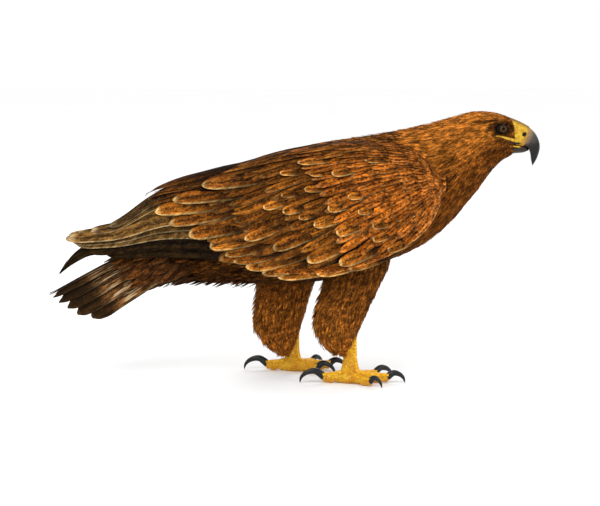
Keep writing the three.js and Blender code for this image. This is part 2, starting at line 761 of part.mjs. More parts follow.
function toeLine(foot, toe) {
  const turn = THREE.MathUtils.degToRad(toe.turn);
  const forward = new THREE.Vector3(Math.cos(turn), foot.sign * Math.sin(turn), 0);
  const start = new THREE.Vector3(foot.x + TOE_START, foot.sign * FOOT_SPREAD, 0);
  return (reach, z) => start.clone().addScaledVector(forward, reach).setZ(z);
}

// A toe with swollen pads at its joints, flat where it stands.
function toeSolid(foot, toe, extra = 0) {
  const at = toeLine(foot, toe);
  const heights = [[0, 4], [0.35, 1], [0.7, -0.8], [1, -0.6]];
  const path = heights.map(([share, above]) => at(toe.length * share, toe.radius + above));
  const radius = (t) => toe.radius * (1.06 - 0.16 * t + 0.07 * Math.cos(t * 6 * Math.PI)) + extra;
  return tube(new THREE.CatmullRomCurve3(path), radius, 7, 7).intersect(floor);
}

function palm(foot, extra = 0) {
  const centre = new THREE.Vector3(foot.x + PALM.ahead, foot.sign * FOOT_SPREAD, PALM.height);
  return ellipsoid(centre, PALM.radii.map((r) => r + extra), [0, 0, 0], [11, 7]).intersect(floor);
}

// A talon that leaves the toe rising, arches over and comes down to the floor.
function talonSolid(foot, toe, extra = 0) {
  const at = toeLine(foot, toe);
  const high = toe.radius + 0.2 * toe.talon;
  const heights = [[0, toe.radius + 1], [0.3, high + 1], [0.6, high - 1], [0.8, high * 0.55], [0.86, 1.3]];
  const path = heights.map(([share, z]) => at(toe.length - 3 + toe.talon * share, z));
  const radius = (t) => toe.radius * 0.64 * (1 - t) ** 0.75 + 0.5 + extra;
  return tube(new THREE.CatmullRomCurve3(path), radius, 7, 6).intersect(floor);
}

const nodes = [];

function add(name, body, look) {
  const mesh = body.getMesh();
  const count = mesh.numProp;
  const corner = (i) => Array.from(mesh.vertProperties.slice(i * count, i * count + 3));
  const positions = new Float32Array(steps(mesh.vertProperties.length / count).flatMap(corner));
  const geometry = new THREE.BufferGeometry();
  geometry.setAttribute('position', new THREE.BufferAttribute(positions, 3));
  geometry.setIndex(new THREE.BufferAttribute(new Uint32Array(mesh.triVerts), 1));
  geometry.computeVertexNormals();
  const made = new THREE.Mesh(geometry, new THREE.MeshStandardMaterial(MATERIALS[look]));
  made.name = name;
  nodes.push(made);
}

add('torso', torso(), 'brown');
add('neck', neck(), 'nape');
add('head', head(), 'nape');
add('cere', cere(), 'yellow');
add('bill_upper', billUpper(), 'horn');
add('bill_lower', billLower(), 'horn');
add('tail', tail(), 'tail');
add('eye_left', eye(LEFT), 'eye');
add('eye_right', eye(RIGHT), 'eye');
add('wing_left', wing(LEFT), 'wing');
add('wing_right', wing(RIGHT), 'wing');

for (const foot of FEET) {
  const clearShank = shank(foot, GAP);
  add(`thigh_${foot.side}`, largest(trousers(foot).subtract(bodyClear).subtract(clearShank)), 'brown');
  add(`shank_${foot.side}`, largest(shank(foot).subtract(palm(foot, GAP))), 'yellow');
  const palmSolid = palm(foot);
  add(`foot_${foot.side}`, palmSolid, 'yellow');
  const palmClear = palm(foot, GAP).add(clearShank);
  TOES.forEach((toe, i) => {
    const others = TOES.slice(0, i).map((other) => toeSolid(foot, other, GAP));
    const body = [palmClear, ...others].reduce((left, cut) => left.subtract(cut), toeSolid(foot, toe));
    add(`toe_${foot.side}_${toe.name}`, largest(body), 'yellow');
    const claw = talonSolid(foot, toe).subtract(toeSolid(foot, toe, GAP));
    add(`talon_${foot.side}_${toe.name}`, largest(claw), 'horn');
  });
}

const eagle = new THREE.Group();
eagle.add(...nodes);
export default eagle;
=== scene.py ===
"""Golden eagle, life size, with folded wings: skin, feathers, bill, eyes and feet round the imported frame.

The tables are in millimetres, as the frame's are, and put_mesh turns them into metres with MM. +X is forward,
+Y is the bird's left and +Z is up. Surfaces are functions of two parameters, worked out as whole arrays.
"""
import math

import bpy
import numpy as np
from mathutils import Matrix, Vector


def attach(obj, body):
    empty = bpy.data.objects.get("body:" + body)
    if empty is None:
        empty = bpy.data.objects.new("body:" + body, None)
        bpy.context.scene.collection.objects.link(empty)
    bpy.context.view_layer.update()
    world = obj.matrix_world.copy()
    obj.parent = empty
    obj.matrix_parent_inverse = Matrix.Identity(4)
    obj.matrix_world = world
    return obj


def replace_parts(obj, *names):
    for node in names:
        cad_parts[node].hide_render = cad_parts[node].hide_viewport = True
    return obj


bl_info = {
    "name": "Golden Eagle",
    "version": (1, 0, 0),
    "blender": (4, 5, 0),
    "location": "View3D > Sidebar > Eagle",
    "description": "Builds a life-size golden eagle feather by feather round its packed frame",
    "category": "Add Mesh",
}

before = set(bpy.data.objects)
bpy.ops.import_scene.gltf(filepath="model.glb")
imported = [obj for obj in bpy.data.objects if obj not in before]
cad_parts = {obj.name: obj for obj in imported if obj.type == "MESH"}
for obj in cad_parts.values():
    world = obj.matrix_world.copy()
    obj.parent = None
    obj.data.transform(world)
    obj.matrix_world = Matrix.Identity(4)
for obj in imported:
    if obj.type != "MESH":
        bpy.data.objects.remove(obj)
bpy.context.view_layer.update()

MM = 0.001
SEED = 7
LEFT, RIGHT = 1, -1
SIDES = {"left": LEFT, "right": RIGHT}

# Body stations from the tail root to the brow: x, height of the back line and of the belly line, half width.
BODY = np.array([
    (-300, 188, 170, 9), (-268, 210, 166, 20), (-232, 246, 172, 26), (-170, 300, 163, 40),
    (-110, 337, 159, 54), (-40, 365, 157, 63), (43, 387, 162, 69), (120, 400, 184, 73), (175, 409, 205, 74),
    (216, 418, 226, 67), (257, 429, 261, 56), (290, 438, 301, 43.5), (307, 440, 322, 39.5),
    (323, 438.5, 344, 36), (340, 434.5, 361, 32.5), (354, 428.5, 369, 24), (363, 422, 374, 14),
], float)

# Folded wing stations from the bend to the tip: the upper edge over the back, the point that pulls the
# section outward, and the lower edge.
WING = np.array([
    (240, 56, 344, 246, 68, 332, 242, 62, 316), (178, 46, 388, 200, 104, 350, 208, 84, 256),
    (96, 28, 391, 118, 116, 346, 135, 92, 210), (10, 18, 380, 28, 112, 334, 46, 92, 188),
    (-73, 13, 359, -58, 100, 306, -40, 84, 187), (-147, 12, 335, -134, 84, 284, -119, 72, 200),
    (-221, 12, 309, -209, 66, 264, -196, 58, 203), (-300, 13, 254, -292, 48, 236, -287, 46, 205),
    (-376, 12, 240, -380, 34, 221, -383, 34, 194),
], float)

TAIL_RIDGE = np.array([(-160, 0, 264), (-290, 0, 203), (-406, 0, 139)], float)
TAIL_HALF = (34, 62)
TAIL_DROP = (68, 108)

# Trouser stations: height above the hem, rear and front measured from the foot, half width, distance from the
# middle plane.
TROUSER = np.array([
    (0, -24, -6, 7, 50), (7, -40, 0, 14, 50), (20, -52, 6, 21, 49.5), (42, -61, 15, 27, 48),
    (65, -59, 26, 30, 46), (89, -52, 37, 31.5, 44), (112, -45, 48, 31.5, 42), (135, -40, 60, 30, 41),
    (160, -34, 66, 26, 40),
], float)
KNEE_UP = 15
FOOT_SPREAD = 50
FEET = {
    "right": {"sign": RIGHT, "x": 94, "hem": 52, "lean": 0},
    "left": {"sign": LEFT, "x": 0, "hem": 32, "lean": -0.17},
}

# Toes: direction from the foot in degrees, outward positive, then length, radius and the talon's length.
TOES = {
    "middle": (4, 66, 9, 33),
    "inner": (-30, 52, 9, 40),
    "outer": (44, 50, 8.2, 29),
    "hallux": (176, 44, 9.4, 46),
}
TARSUS = {"rear": -14, "front": 9.5, "half": 9, "low": 9, "top": 40}
TOES_BACK = 4
TALON_INSET = 3
PALM = {"centre": (-3, 0, 10), "radii": (20, 17.5, 12.5)}

EYE = np.array([338, 25.5, 414])
EYE_RADIUS = 8.4
GAZE = np.array([0.16, 0.985, 0.03])

# The shape of the face, each form a soft bump on the head: centre x, y, z, spread, and how far it stands out.
FACE_FORMS = np.array([
    (338, 31, 412, 9.5, -3.4), (318, 31, 424, 5.5, 2), (328, 31, 425.5, 5.5, 4.2), (338, 30, 425, 5.5, 5.2),
    (347, 26, 421.5, 5, 4.6), (356, 21, 402, 6.5, -2), (322, 36, 396, 10, 1.4), (345, 26, 385, 7, 0.8),
])


def smoothstep(low, high, value):
    """3u^2 - 2u^3, where u is the share of the way from low to high, kept between 0 and 1."""
    u = np.clip((np.asarray(value, float) - low) / (high - low), 0, 1)
    return u * u * (3 - 2 * u)


def through(keys, values, x):
    """Smooth values at x through stations: cubic Hermite steps whose slopes are the harmonic mean of the
    slopes on either side, and zero where those turn, so that the curve never overshoots."""
    values = np.asarray(values, float).reshape(len(keys), -1)
    keys = np.asarray(keys, float)
    slope = np.diff(values, axis=0) / np.diff(keys)[:, None]
    before, after = slope[:-1], slope[1:]
    both = before * after
    total = np.where(both > 0, before + after, 1)
    tangent = np.vstack([slope[:1], np.where(both > 0, 2 * both / total, 0), slope[-1:]])
    x = np.asarray(x, float)
    i = np.clip(np.searchsorted(keys, x, side="right") - 1, 0, len(keys) - 2)
    width = (keys[i + 1] - keys[i])[..., None]
    t = np.clip((x - keys[i])[..., None] / width, 0, 1)
    return (
        (2 * t**3 - 3 * t**2 + 1) * values[i]
        + (t**3 - 2 * t**2 + t) * width * tangent[i]
        + (3 * t**2 - 2 * t**3) * values[i + 1]
        + (t**3 - t**2) * width * tangent[i + 1]
    )


def spline(points, t):
    """A curve through points at even steps of t from 0 to 1: Catmull-Rom, each tangent half of the chord
    between the neighbours."""
    points = np.asarray(points, float)
    tangent = np.gradient(points, axis=0)
    place = np.clip(np.asarray(t, float), 0, 1) * (len(points) - 1)
    i = np.clip(place.astype(int), 0, len(points) - 2)
    u = (place - i)[..., None]
    return (
        (2 * u**3 - 3 * u**2 + 1) * points[i]
        + (u**3 - 2 * u**2 + u) * tangent[i]
        + (3 * u**2 - 2 * u**3) * points[i + 1]
        + (u**3 - u**2) * tangent[i + 1]
    )


def unit(vectors):
    """Vectors divided by their lengths."""
    return vectors / np.maximum(np.linalg.norm(vectors, axis=-1, keepdims=True), 1e-9)


def mirrored(points):
    """Points with those of the right side brought over to the left."""
    return np.abs(points) * (0, 1, 0) + points * (1, 0, 1)


# Surfaces: each gives points for arrays of its two parameters


def body_surface(x, turn):
    """The body at x, turn degrees from the back line, positive to the left: an ellipse between the back and
    belly lines, pushed out or in by the soft bumps of the face."""
    top, bottom, half = np.moveaxis(through(BODY[:, 0], BODY[:, 1:], x), -1, 0)
    angle = np.radians(turn)
    outward = np.stack([np.zeros_like(angle + x), np.sin(angle) + 0 * x, np.cos(angle) + 0 * x], -1)
    radii = np.stack([np.zeros_like(half), half, (top - bottom) / 2], -1)
    point = outward * radii
    point[..., 0] += x
    point[..., 2] += (top + bottom) / 2
    bump = np.zeros(point.shape[:-1])
    near = point[..., 0] > FACE_FORMS[:, 0].min() - 40
    if near.any():
        face = mirrored(point[near])
        for cx, cy, cz, spread, amount in FACE_FORMS:
            reach = np.sum((face - (cx, cy, cz)) ** 2, -1)
            bump[near] += amount * np.exp(-reach / (2 * spread**2))
    return point + outward * bump[..., None]


def wing_surface(along, across):
    """The folded left wing: along from the bend (0) to the tip (1), across from the lower edge (0) to the
    upper (1), a quadratic Bezier section from the lower edge through the pull point to the upper edge."""
    keys = np.linspace(0, 1, len(WING))
    stations = through(keys, WING, np.clip(along, 0, 1))
    beyond = (np.asarray(along) - np.clip(along, 0, 1))[..., None]
    upper, pull, lower = stations[..., :3], stations[..., 3:6], stations[..., 6:]
    c = np.asarray(across, float)[..., None]
    point = (1 - c) ** 2 * lower + 2 * c * (1 - c) * pull + c**2 * upper
    run = (WING[-1] - WING[-2])[3:6] * (len(WING) - 1)
    return point + beyond * run


def tail_surface(along, turn):
    """The arch of the tail: along from its root (0) to its tip (1), turn degrees from the ridge. Its half
    width and its fall grow along it, and the section is a half ellipse that hangs from the ridge."""
    angle = np.radians(turn)
    half = TAIL_HALF[0] + (TAIL_HALF[1] - TAIL_HALF[0]) * along
    drop = TAIL_DROP[0] + (TAIL_DROP[1] - TAIL_DROP[0]) * along
    ridge = spline(TAIL_RIDGE, along)
    return np.stack(
        [ridge[..., 0] + 0 * angle, half * np.sin(angle), ridge[..., 2] - drop * (1 - np.cos(angle))], -1
    )


def trouser_surface(foot):
    """The feathered thigh of one foot: up from the hem, turn degrees from forward to outward, an ellipse
    between the rear and front lines that leans back with height."""

    def surface(up, turn):
        rear, front, half, out = np.moveaxis(through(TROUSER[:, 0], TROUSER[:, 1:], np.maximum(up, 0)), -1, 0)
        angle = np.radians(turn)
        middle = foot["x"] + (rear + front) / 2 + foot["lean"] * (up - KNEE_UP)
        x = middle + (front - rear) / 2 * np.cos(angle)
        return np.stack([x, out + half * np.sin(angle), foot["hem"] + up + 0 * angle], -1)

    return surface


def toe_surface(foot, toe):
    """A toe along t from the palm (0) to the talon (1), turn degrees from its top: a tube round the toe's
    path with pads under its joints."""
    turn, length, radius, _ = TOES[toe]
    ahead = np.array([math.cos(math.radians(turn)), math.sin(math.radians(turn)), 0])
    start = np.array([foot["x"] - TOES_BACK, FOOT_SPREAD, 0])
    heights = [(0, radius + 4), (0.35, radius + 1), (0.7, radius - 0.8), (1, radius - 0.6)]
    path = [start + ahead * length * share + (0, 0, z) for share, z in heights]
    side = np.array([-ahead[1], ahead[0], 0])

    def surface(t, turned):
        centre = spline(path, t)
        angle = np.radians(turned)[..., None]
        pads = np.maximum(0, -np.cos(np.radians(turned))) * 0.14 * np.cos(6 * np.pi * t)
        thick = (radius * (1.04 - 0.2 * t + 0.03 * np.cos(6 * np.pi * t) + pads))[..., None]
        return centre + side * thick * np.sin(angle) + np.array([0, 0, 1]) * thick * np.cos(angle)

    return surface


def shank_surface(foot):
    """The bare shank: up from the palm (0) to inside the trousers (1), turn degrees from its front, an
    ellipse that swells a little at its foot."""

    def surface(up, turn):
        high = foot["hem"] + TARSUS["top"] - TARSUS["low"]
        swell = 1.14 + 0.22 * np.cos(np.minimum(1, up * 2.2) * np.pi)
        angle = np.radians(turn)
        centre = (TARSUS["rear"] + TARSUS["front"]) / 2
        reach = (TARSUS["front"] - TARSUS["rear"]) / 2
        x = foot["x"] + centre + reach * swell * np.cos(angle)
        y = FOOT_SPREAD + TARSUS["half"] * swell * np.sin(angle)
        return np.stack([x, y, TARSUS["low"] + high * up + 0 * angle], -1)

    return surface


def lay(surface, a, b, step, facing):
    """Points of a surface and its outward unit normals: the cross product of its slopes along a and b, times
    facing."""
    a, b = np.broadcast_arrays(np.asarray(a, float), np.asarray(b, float))
    run = surface(a + step[0], b) - surface(a - step[0], b)
    rise = surface(a, b + step[1]) - surface(a, b - step[1])
    return surface(a, b), unit(np.cross(run, rise)) * facing


BODY_LAY = ((1.5, 1.5), 1)
WING_LAY = ((0.006, 0.02), 1)
TAIL_LAY = ((0.01, 1.5), -1)
TROUSER_LAY = ((1.5, 3), -1)
BILL_LAY = ((0.004, 2), -1)

# Meshes


def grid_faces(rows, columns, closed=False):
    """Quads of a grid of points, with its last column joined to its first if it is closed."""
    r = np.arange(rows - 1)[:, None]
    c = np.arange(columns if closed else columns - 1)[None, :]
    after = (c + 1) % columns
    corners = (r * columns + c, (r + 1) * columns + c, (r + 1) * columns + after, r * columns + after)
    return np.stack(np.broadcast_arrays(*corners), -1).reshape(-1, 4)


def put_mesh(name, points, faces, material, marks=None, uv=None, sign=LEFT):
    """A new object from points in millimetres and faces of 3 or 4 corners. marks holds values for each point,
    uv a place for each point, and sign mirrors it to the right side, with its faces turned to stay
    outward."""
    points = np.asarray(points, float).reshape(-1, 3) * (MM, sign * MM, MM)
    faces = np.asarray(faces)
    if sign == RIGHT:
        faces = faces[:, ::-1]
    corners = faces.shape[1]
    mesh = bpy.data.meshes.new(name)
    mesh.vertices.add(len(points))
    mesh.vertices.foreach_set("co", points.astype(np.float32).ravel())
    mesh.loops.add(faces.size)
    mesh.loops.foreach_set("vertex_index", faces.astype(np.int32).ravel())
    mesh.polygons.add(len(faces))
    mesh.polygons.foreach_set("loop_start", np.arange(0, faces.size, corners, dtype=np.int32))
    mesh.update(calc_edges=True)
    mesh.validate()
    mesh.shade_smooth()
    for key, values in (marks or {}).items():
        values = np.asarray(values, np.float32)
        kind = "FLOAT_VECTOR" if values.ndim > 1 else "FLOAT"
        layer = mesh.attributes.new(key, kind, "POINT")
        layer.data.foreach_set("vector" if values.ndim > 1 else "value", values.ravel())
    if uv is not None:
        order = np.empty(len(mesh.loops), np.int32)
        mesh.loops.foreach_get("vertex_index", order)
        layer = mesh.uv_layers.new(name="OFBake")
        layer.data.foreach_set("uv", np.asarray(uv, np.float32)[order].ravel())
    mesh.materials.append(material)
    obj = bpy.data.objects.new(name, mesh)
    bpy.context.scene.collection.objects.link(obj)
    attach(obj, "root")
    return obj


def tube_mesh(rings):
    """Points and faces of a closed tube from rings of points [row, column], each end closed on the middle of
    its ring."""
    rows, columns = rings.shape[:2]
    points = np.vstack([rings.reshape(-1, 3), rings[0].mean(0), rings[-1].mean(0)])
    body = grid_faces(rows, columns, closed=True)
    c = np.arange(columns)
    after = (c + 1) % columns
    first, last = rows * columns, rows * columns + 1
    low = np.stack([c, after, np.full(columns, first)], -1)
    high = np.stack([after, c, np.full(columns, last)], -1) + ((rows - 1) * columns) * np.array([1, 1, 0])
    triangles = np.vstack([body[:, [0, 1, 2]], body[:, [0, 2, 3]], low, high])
    return points, outward(points, triangles)


def outward(points, triangles):
    """Triangles turned so that the volume that they enclose is positive."""
    a, b, c = (points[triangles[:, i]] for i in range(3))
    volume = np.sum(a * np.cross(b, c))
    return triangles if volume > 0 else triangles[:, ::-1]


def joined(parts):
    """Several meshes of points and faces as one."""
    points, faces, start = [], [], 0
    for some, corners in parts:
        points.append(some)
        faces.append(corners + start)
        start += len(some)
    return np.vstack(points), np.vstack(faces)


def vane_faces(rows, columns):
    """Quads of one closed vane: a grid on top, and below it a grid that shares the rim and has points of its
    own inside. Gives the faces and, for the points below, the top points that they lie under."""
    top = np.arange(rows * columns).reshape(rows, columns)
    below = top.copy()
    inner = top[1:-1, 1:-1]
    below[1:-1, 1:-1] = rows * columns + np.arange(inner.size).reshape(inner.shape)
    faces = []
    for grid, turn in ((top, 1), (below, -1)):
        quads = np.stack([grid[:-1, :-1], grid[1:, :-1], grid[1:, 1:], grid[:-1, 1:]], -1).reshape(-1, 4)
        faces.append(quads[:, ::turn])
    return np.vstack(faces), inner.ravel()


# How wide a vane is at each share of its length, from root to tip
OUTLINES = {
    "broad": ((0, 0.42), (0.2, 0.78), (0.5, 0.96), (0.82, 0.93), (0.94, 0.66), (1, 0.14)),
    "oval": ((0, 0.5), (0.25, 0.86), (0.55, 1), (0.8, 0.95), (0.92, 0.72), (0.98, 0.4), (1, 0.12)),
    "paddle": ((0, 0.5), (0.3, 0.9), (0.7, 1), (0.93, 0.97), (0.97, 0.82), (0.99, 0.58), (1, 0.3)),
    "lance": ((0, 0.4), (0.3, 0.95), (0.55, 1), (0.8, 0.6), (1, 0.05)),
    "strand": ((0, 0.7), (0.3, 1), (0.7, 0.62), (1, 0.05)),
    "sabre": ((0, 0.6), (0.42, 1), (0.74, 0.92), (0.87, 0.84), (0.95, 0.6), (1, 0.1)),
}


def each_row(value, count):
    """A number, or an array of one for each feather, as a column."""
    return np.broadcast_to(np.asarray(value, float), (count,))[:, None]


def vanes(
    surface, setting, root, tip, half, lift, outline, rows, columns, roll, crown, bend=0, hug=0, thick=0.6,
    path=None, flare=1,
):
    """Feathers over a surface, as arrays. Each feather's shaft runs in the surface's own coordinates from
    root to tip, bent aside by bend * 4 s (1 - s), and its height goes from lift[0] to lift[1] with s^flare.
    Across it, at t from -1 to 1, the vane stands crown * (1 - t^2) high, tips by roll * t, and falls by hug *
    (distance from the shaft)^2. Gives points [feather, point], faces and the shares s and t of each point."""
    root, tip = np.asarray(root, float), np.asarray(tip, float)
    count = len(root)
    s = 1 - (1 - np.linspace(0, 1, rows)) ** 1.25
    t = np.linspace(-1, 1, columns)
    a = root[:, :1] + (tip[:, :1] - root[:, :1]) * s
    b = root[:, 1:] + (tip[:, 1:] - root[:, 1:]) * s + each_row(bend, count) * 4 * s * (1 - s)
    if path is not None:
        b = through(path[:, 0], path[:, 1], np.broadcast_to(s, a.shape))[..., 0]
    point, normal = lay(surface, a, b, *setting)
    low, high = (each_row(value, count) for value in lift)
    height = low + (high - low) * s**flare
    centre = point + normal * height[..., None]
    forward = unit(np.gradient(centre, axis=1))
    side = unit(np.cross(normal, forward))
    shares, widths = np.array(OUTLINES[outline]).T
    width = each_row(half, count) * through(shares, widths, s)[:, 0]
    across = width[..., None] * t
    up = crown * (1 - t**2) * np.sin(np.pi * np.clip(s, 0.06, 0.94))[:, None]
    up = up - each_row(roll, count)[..., None] * t - hug * across**2
    top = centre[:, :, None] + side[:, :, None] * across[..., None] + normal[:, :, None] * up[..., None]
    faces, inner = vane_faces(rows, columns)
    points = top.reshape(count, -1, 3)
    under = points[:, inner] - np.repeat(normal, columns, 1)[:, inner] * thick
    shares = np.stack(np.broadcast_arrays(s[:, None], t[None, :]), -1).reshape(-1, 2)
    shares = np.vstack([shares, shares[inner]])
    return np.concatenate([points, under], 1), faces, shares


def plumage(name, material, batches, rng, sign=LEFT):
    """One object from batches of vanes. A batch holds its vanes, the marks of each feather (gold, pale,
    shade) and its root's place on the skin's unwrap, where it gets a patch in the map OFBake. Each point
    keeps its shares of the feather and the feather's own tone in the attribute vane."""
    points, faces, vane, mark, uv, start = [], [], [], [], [], 0
    for (grid, quads, shares), marks, place, patch in batches:
        count, size = grid.shape[:2]
        points.append(grid.reshape(-1, 3))
        first = start + np.arange(count)[:, None, None] * size
        faces.append((quads[None] + first).reshape(-1, 4))
        start += count * size
        tone = np.repeat(rng.random(count), size)
        vane.append(np.column_stack([np.tile(shares, (count, 1)), tone]))
        mark.append(np.repeat(np.stack(np.broadcast_arrays(*marks), -1) * np.ones((count, 1)), size, 0))
        patch = np.broadcast_to(np.asarray(patch, float), (count, 2))
        spot = place[:, None] + np.stack([shares[:, 1] / 2, shares[:, 0]], -1)[None] * patch[:, None]
        uv.append(spot.reshape(-1, 2))
    marks = {"vane": np.vstack(vane), "mark": np.vstack(mark)}
    obj = put_mesh(name, np.vstack(points), np.vstack(faces), material, marks, np.vstack(uv), sign)
    return obj


# The width of a small feather's patch in the map OFBake, and how the unwrap of a skin lies in it.
PATCH = 0.003
UNWRAP_START = 0.04
UNWRAP_SPAN = 0.92


def unwrap(share):
    """A place in the map from the share of the way over a skin."""
    return UNWRAP_START + UNWRAP_SPAN * share


def columns_over(surface, turns, start, end, spacing, rng):
    """Places for feathers in columns along a surface's first parameter, one column at each turn, from start
    to end, with every other column half a step on. spacing holds values of that parameter and the steps
    there, in millimetres of the surface. Gives the two parameters and the step at each place."""
    samples, jitter = 260, 0.22
    a = np.linspace(start, end, samples)
    gap = np.interp(a, *spacing)
    columns = []
    for i, turn in enumerate(turns):
        point = surface(a, np.full(samples, turn))
        run = np.concatenate([[0], np.cumsum(np.linalg.norm(np.diff(point, axis=0), axis=1))])
        steps = np.concatenate([[0], np.cumsum(np.diff(run) / ((gap[1:] + gap[:-1]) / 2))])
        wanted = np.arange(0.25 + 0.5 * (i % 2), steps[-1], 1.0)
        wanted = wanted + rng.uniform(-jitter, jitter, len(wanted))
        place = np.interp(wanted, steps, a)
        columns.append((place, np.full(len(place), turn), np.interp(wanted, steps, gap)))
    return [np.concatenate(values) for values in zip(*columns)]


# Markings, the same for skin and coat


# Ellipsoids of the face's markings: centre and radii. The brow is a dark line over the eye, and the cheek a
# pale crescent under it.
EYE_SHADE = (EYE + (3, 4, -1), (25, 40, 13.5))
BROW = (np.array([322, 32, 427]), (24, 14, 3.2))
CHEEK = (EYE + (-14.5, 8, -5), (3.6, 9, 7))
# Where the wing's front edge lies along the body: the middle x of its painted shadow there.
WING_FRONT_SHADOW = 262


def within(points, ellipsoid):
    """How far points lie from the centre of an ellipsoid, in shares of its radii."""
    centre, radii = ellipsoid
    return np.linalg.norm((mirrored(points) - centre) / radii, axis=-1)


def body_marks(x, turn, point):
    """Gold, pale edges and shade at places of the body. Gold fills the crown and nape and fades over the
    neck's sides and the back. Shade grows down the breast and belly, rings the eye and draws a brow; over
    the belly it deepens into painted shadow under the wing, and beside the wing's front it is the wing's
    painted shadow on the body."""
    high = np.cos(np.radians(turn))
    gold = smoothstep(150, 260, x) * smoothstep(-0.3, 0.5, high) * (1 - 0.35 * smoothstep(330, 352, x))
    gold = np.maximum(gold, 0.25 * smoothstep(-300, 100, x) * smoothstep(0.2, 0.9, high))
    cheek = within(point, CHEEK)
    breast = 0.6 * smoothstep(0.4, -0.5, high) * smoothstep(345, 300, x)
    # Over the belly, darker plumage deepens into painted shadow under the folded wing.
    belly = 0.85 * smoothstep(190, 60, x) * smoothstep(0.1, -0.4, high)
    throat = 0.62 * smoothstep(296, 326, x) * smoothstep(0.45, 0.0, high)
    eye = 1.05 * smoothstep(1.15, 0.75, within(point, EYE_SHADE))
    brow = smoothstep(1.2, 0.6, within(point, BROW))
    shade = np.maximum.reduce([breast, belly, throat, eye, brow]) - 0.85 * smoothstep(1.15, 0.5, cheek)
    # Painted shadow of the wing's front edge, on the body's side beside it.
    flank = smoothstep(0.8, 0.5, high) * smoothstep(-0.8, -0.4, high)
    shade = np.maximum(shade, 0.75 * np.exp(-(((x - WING_FRONT_SHADOW) / 13) ** 2)) * flank)
    pale = 0.3 + 0.3 * gold + 0.7 * smoothstep(1.2, 0.5, cheek)
    return gold, pale, np.clip(shade, 0, 1.05)


# Node helpers


def srgb(code):
    """A colour written as six hexadecimal digits, turned from screen values into linear ones."""
    parts = [int(code[i : i + 2], 16) / 255 for i in (0, 2, 4)]
    return tuple(p / 12.92 if p <= 0.04045 else ((p + 0.055) / 1.055) ** 2.4 for p in parts)


# Colours that the panel doesn't hold
TINTS = {
    name: srgb(code)
    for name, code in {
        "deep_shade": "0a0502", "tail_dark": "180e05", "tail_end": "1c1206", "iris_border": "140a04",
        "pupil": "020202", "lid": "0c0703", "lid_light": "241a0c", "cere_dull": "b8861c",
        "cere_front": "8e6430", "cere_olive": "5c4410", "cere_light": "e8cc58", "cere_top": "5e3c14",
        "painted_hole_shade": "120b05",
        "horn_brown": "6e5236", "horn_pale": "a68a6a", "horn_under": "160d08", "scale_dull": "e29414",
        "scale_brown": "9c5a08", "scale_painted_highlight": "ffe466", "scale_seam": "bc7c10", "scute_dull": "dc920e",
        "talon_streak": "2a2724",
    }.items()
}


def node(tree, kind, inputs=None, **settings):
    """A new node with its settings, and its inputs linked to sockets or set to values."""
    made = tree.nodes.new(kind)
    for key, value in settings.items():
        setattr(made, key, value)
    for key, value in (inputs or {}).items():
        if isinstance(value, bpy.types.NodeSocket):
            tree.links.new(value, made.inputs[key])
        elif hasattr(value, "__len__") and len(value) == 3 and made.inputs[key].type == "RGBA":
            made.inputs[key].default_value = (*value, 1)
        else:
            made.inputs[key].default_value = value
    return made


def calc(tree, operation, *values):
    """A Math node's value."""
    return node(tree, "ShaderNodeMath", dict(enumerate(values)), operation=operation).outputs[0]


def span(tree, value, low, high, to_low=0.0, to_high=1.0):
    """A value mapped smoothly from low..high to 0..1, or to another range."""
    sockets = {"Value": value, "From Min": low, "From Max": high, "To Min": to_low, "To Max": to_high}
    return node(tree, "ShaderNodeMapRange", sockets, interpolation_type="SMOOTHSTEP").outputs[0]


def blend(tree, factor, one, other, how="MIX"):
    """Two colours mixed by a factor."""
    mix = node(tree, "ShaderNodeMix", data_type="RGBA", blend_type=how, clamp_factor=True)
    for socket, value in ((mix.inputs[0], factor), (mix.inputs[6], one), (mix.inputs[7], other)):
        if isinstance(value, bpy.types.NodeSocket):
            tree.links.new(value, socket)
        elif socket.type == "RGBA":
            socket.default_value = (*value[:3], 1)
        else:
            socket.default_value = value
    return mix.outputs[2]


def noise(tree, vector, scale, detail=2.0, roughness=0.5):
    """Noise from 0 to 1 over a vector."""
    sockets = {"Vector": vector, "Scale": scale, "Detail": detail, "Roughness": roughness}
    return node(tree, "ShaderNodeTexNoise", sockets, normalize=True).outputs[0]


def objects_place(tree):
    """The place in the object's own coordinates."""
    return node(tree, "ShaderNodeTexCoord").outputs["Object"]


def new_group(name, inputs, outputs):
    """An empty shader node group with its inputs and outputs, each a name and a kind."""
    group = bpy.data.node_groups.new(name, "ShaderNodeTree")
    for way, sockets in (("INPUT", inputs), ("OUTPUT", outputs)):
        for label, kind in sockets:
            group.interface.new_socket(name=label, in_out=way, socket_type=kind)
    return group, group.nodes.new("NodeGroupInput").outputs, group.nodes.new("NodeGroupOutput").inputs


COLOR, FLOAT = "NodeSocketColor", "NodeSocketFloat"
VANE_COLOURS = ("Web", "Rim", "Gold", "Centre")
VANE_VALUES = ("Rim Width", "Centre Width", "Side", "Barbs", "Fleck Size", "Flecks", "Specks", "Root")


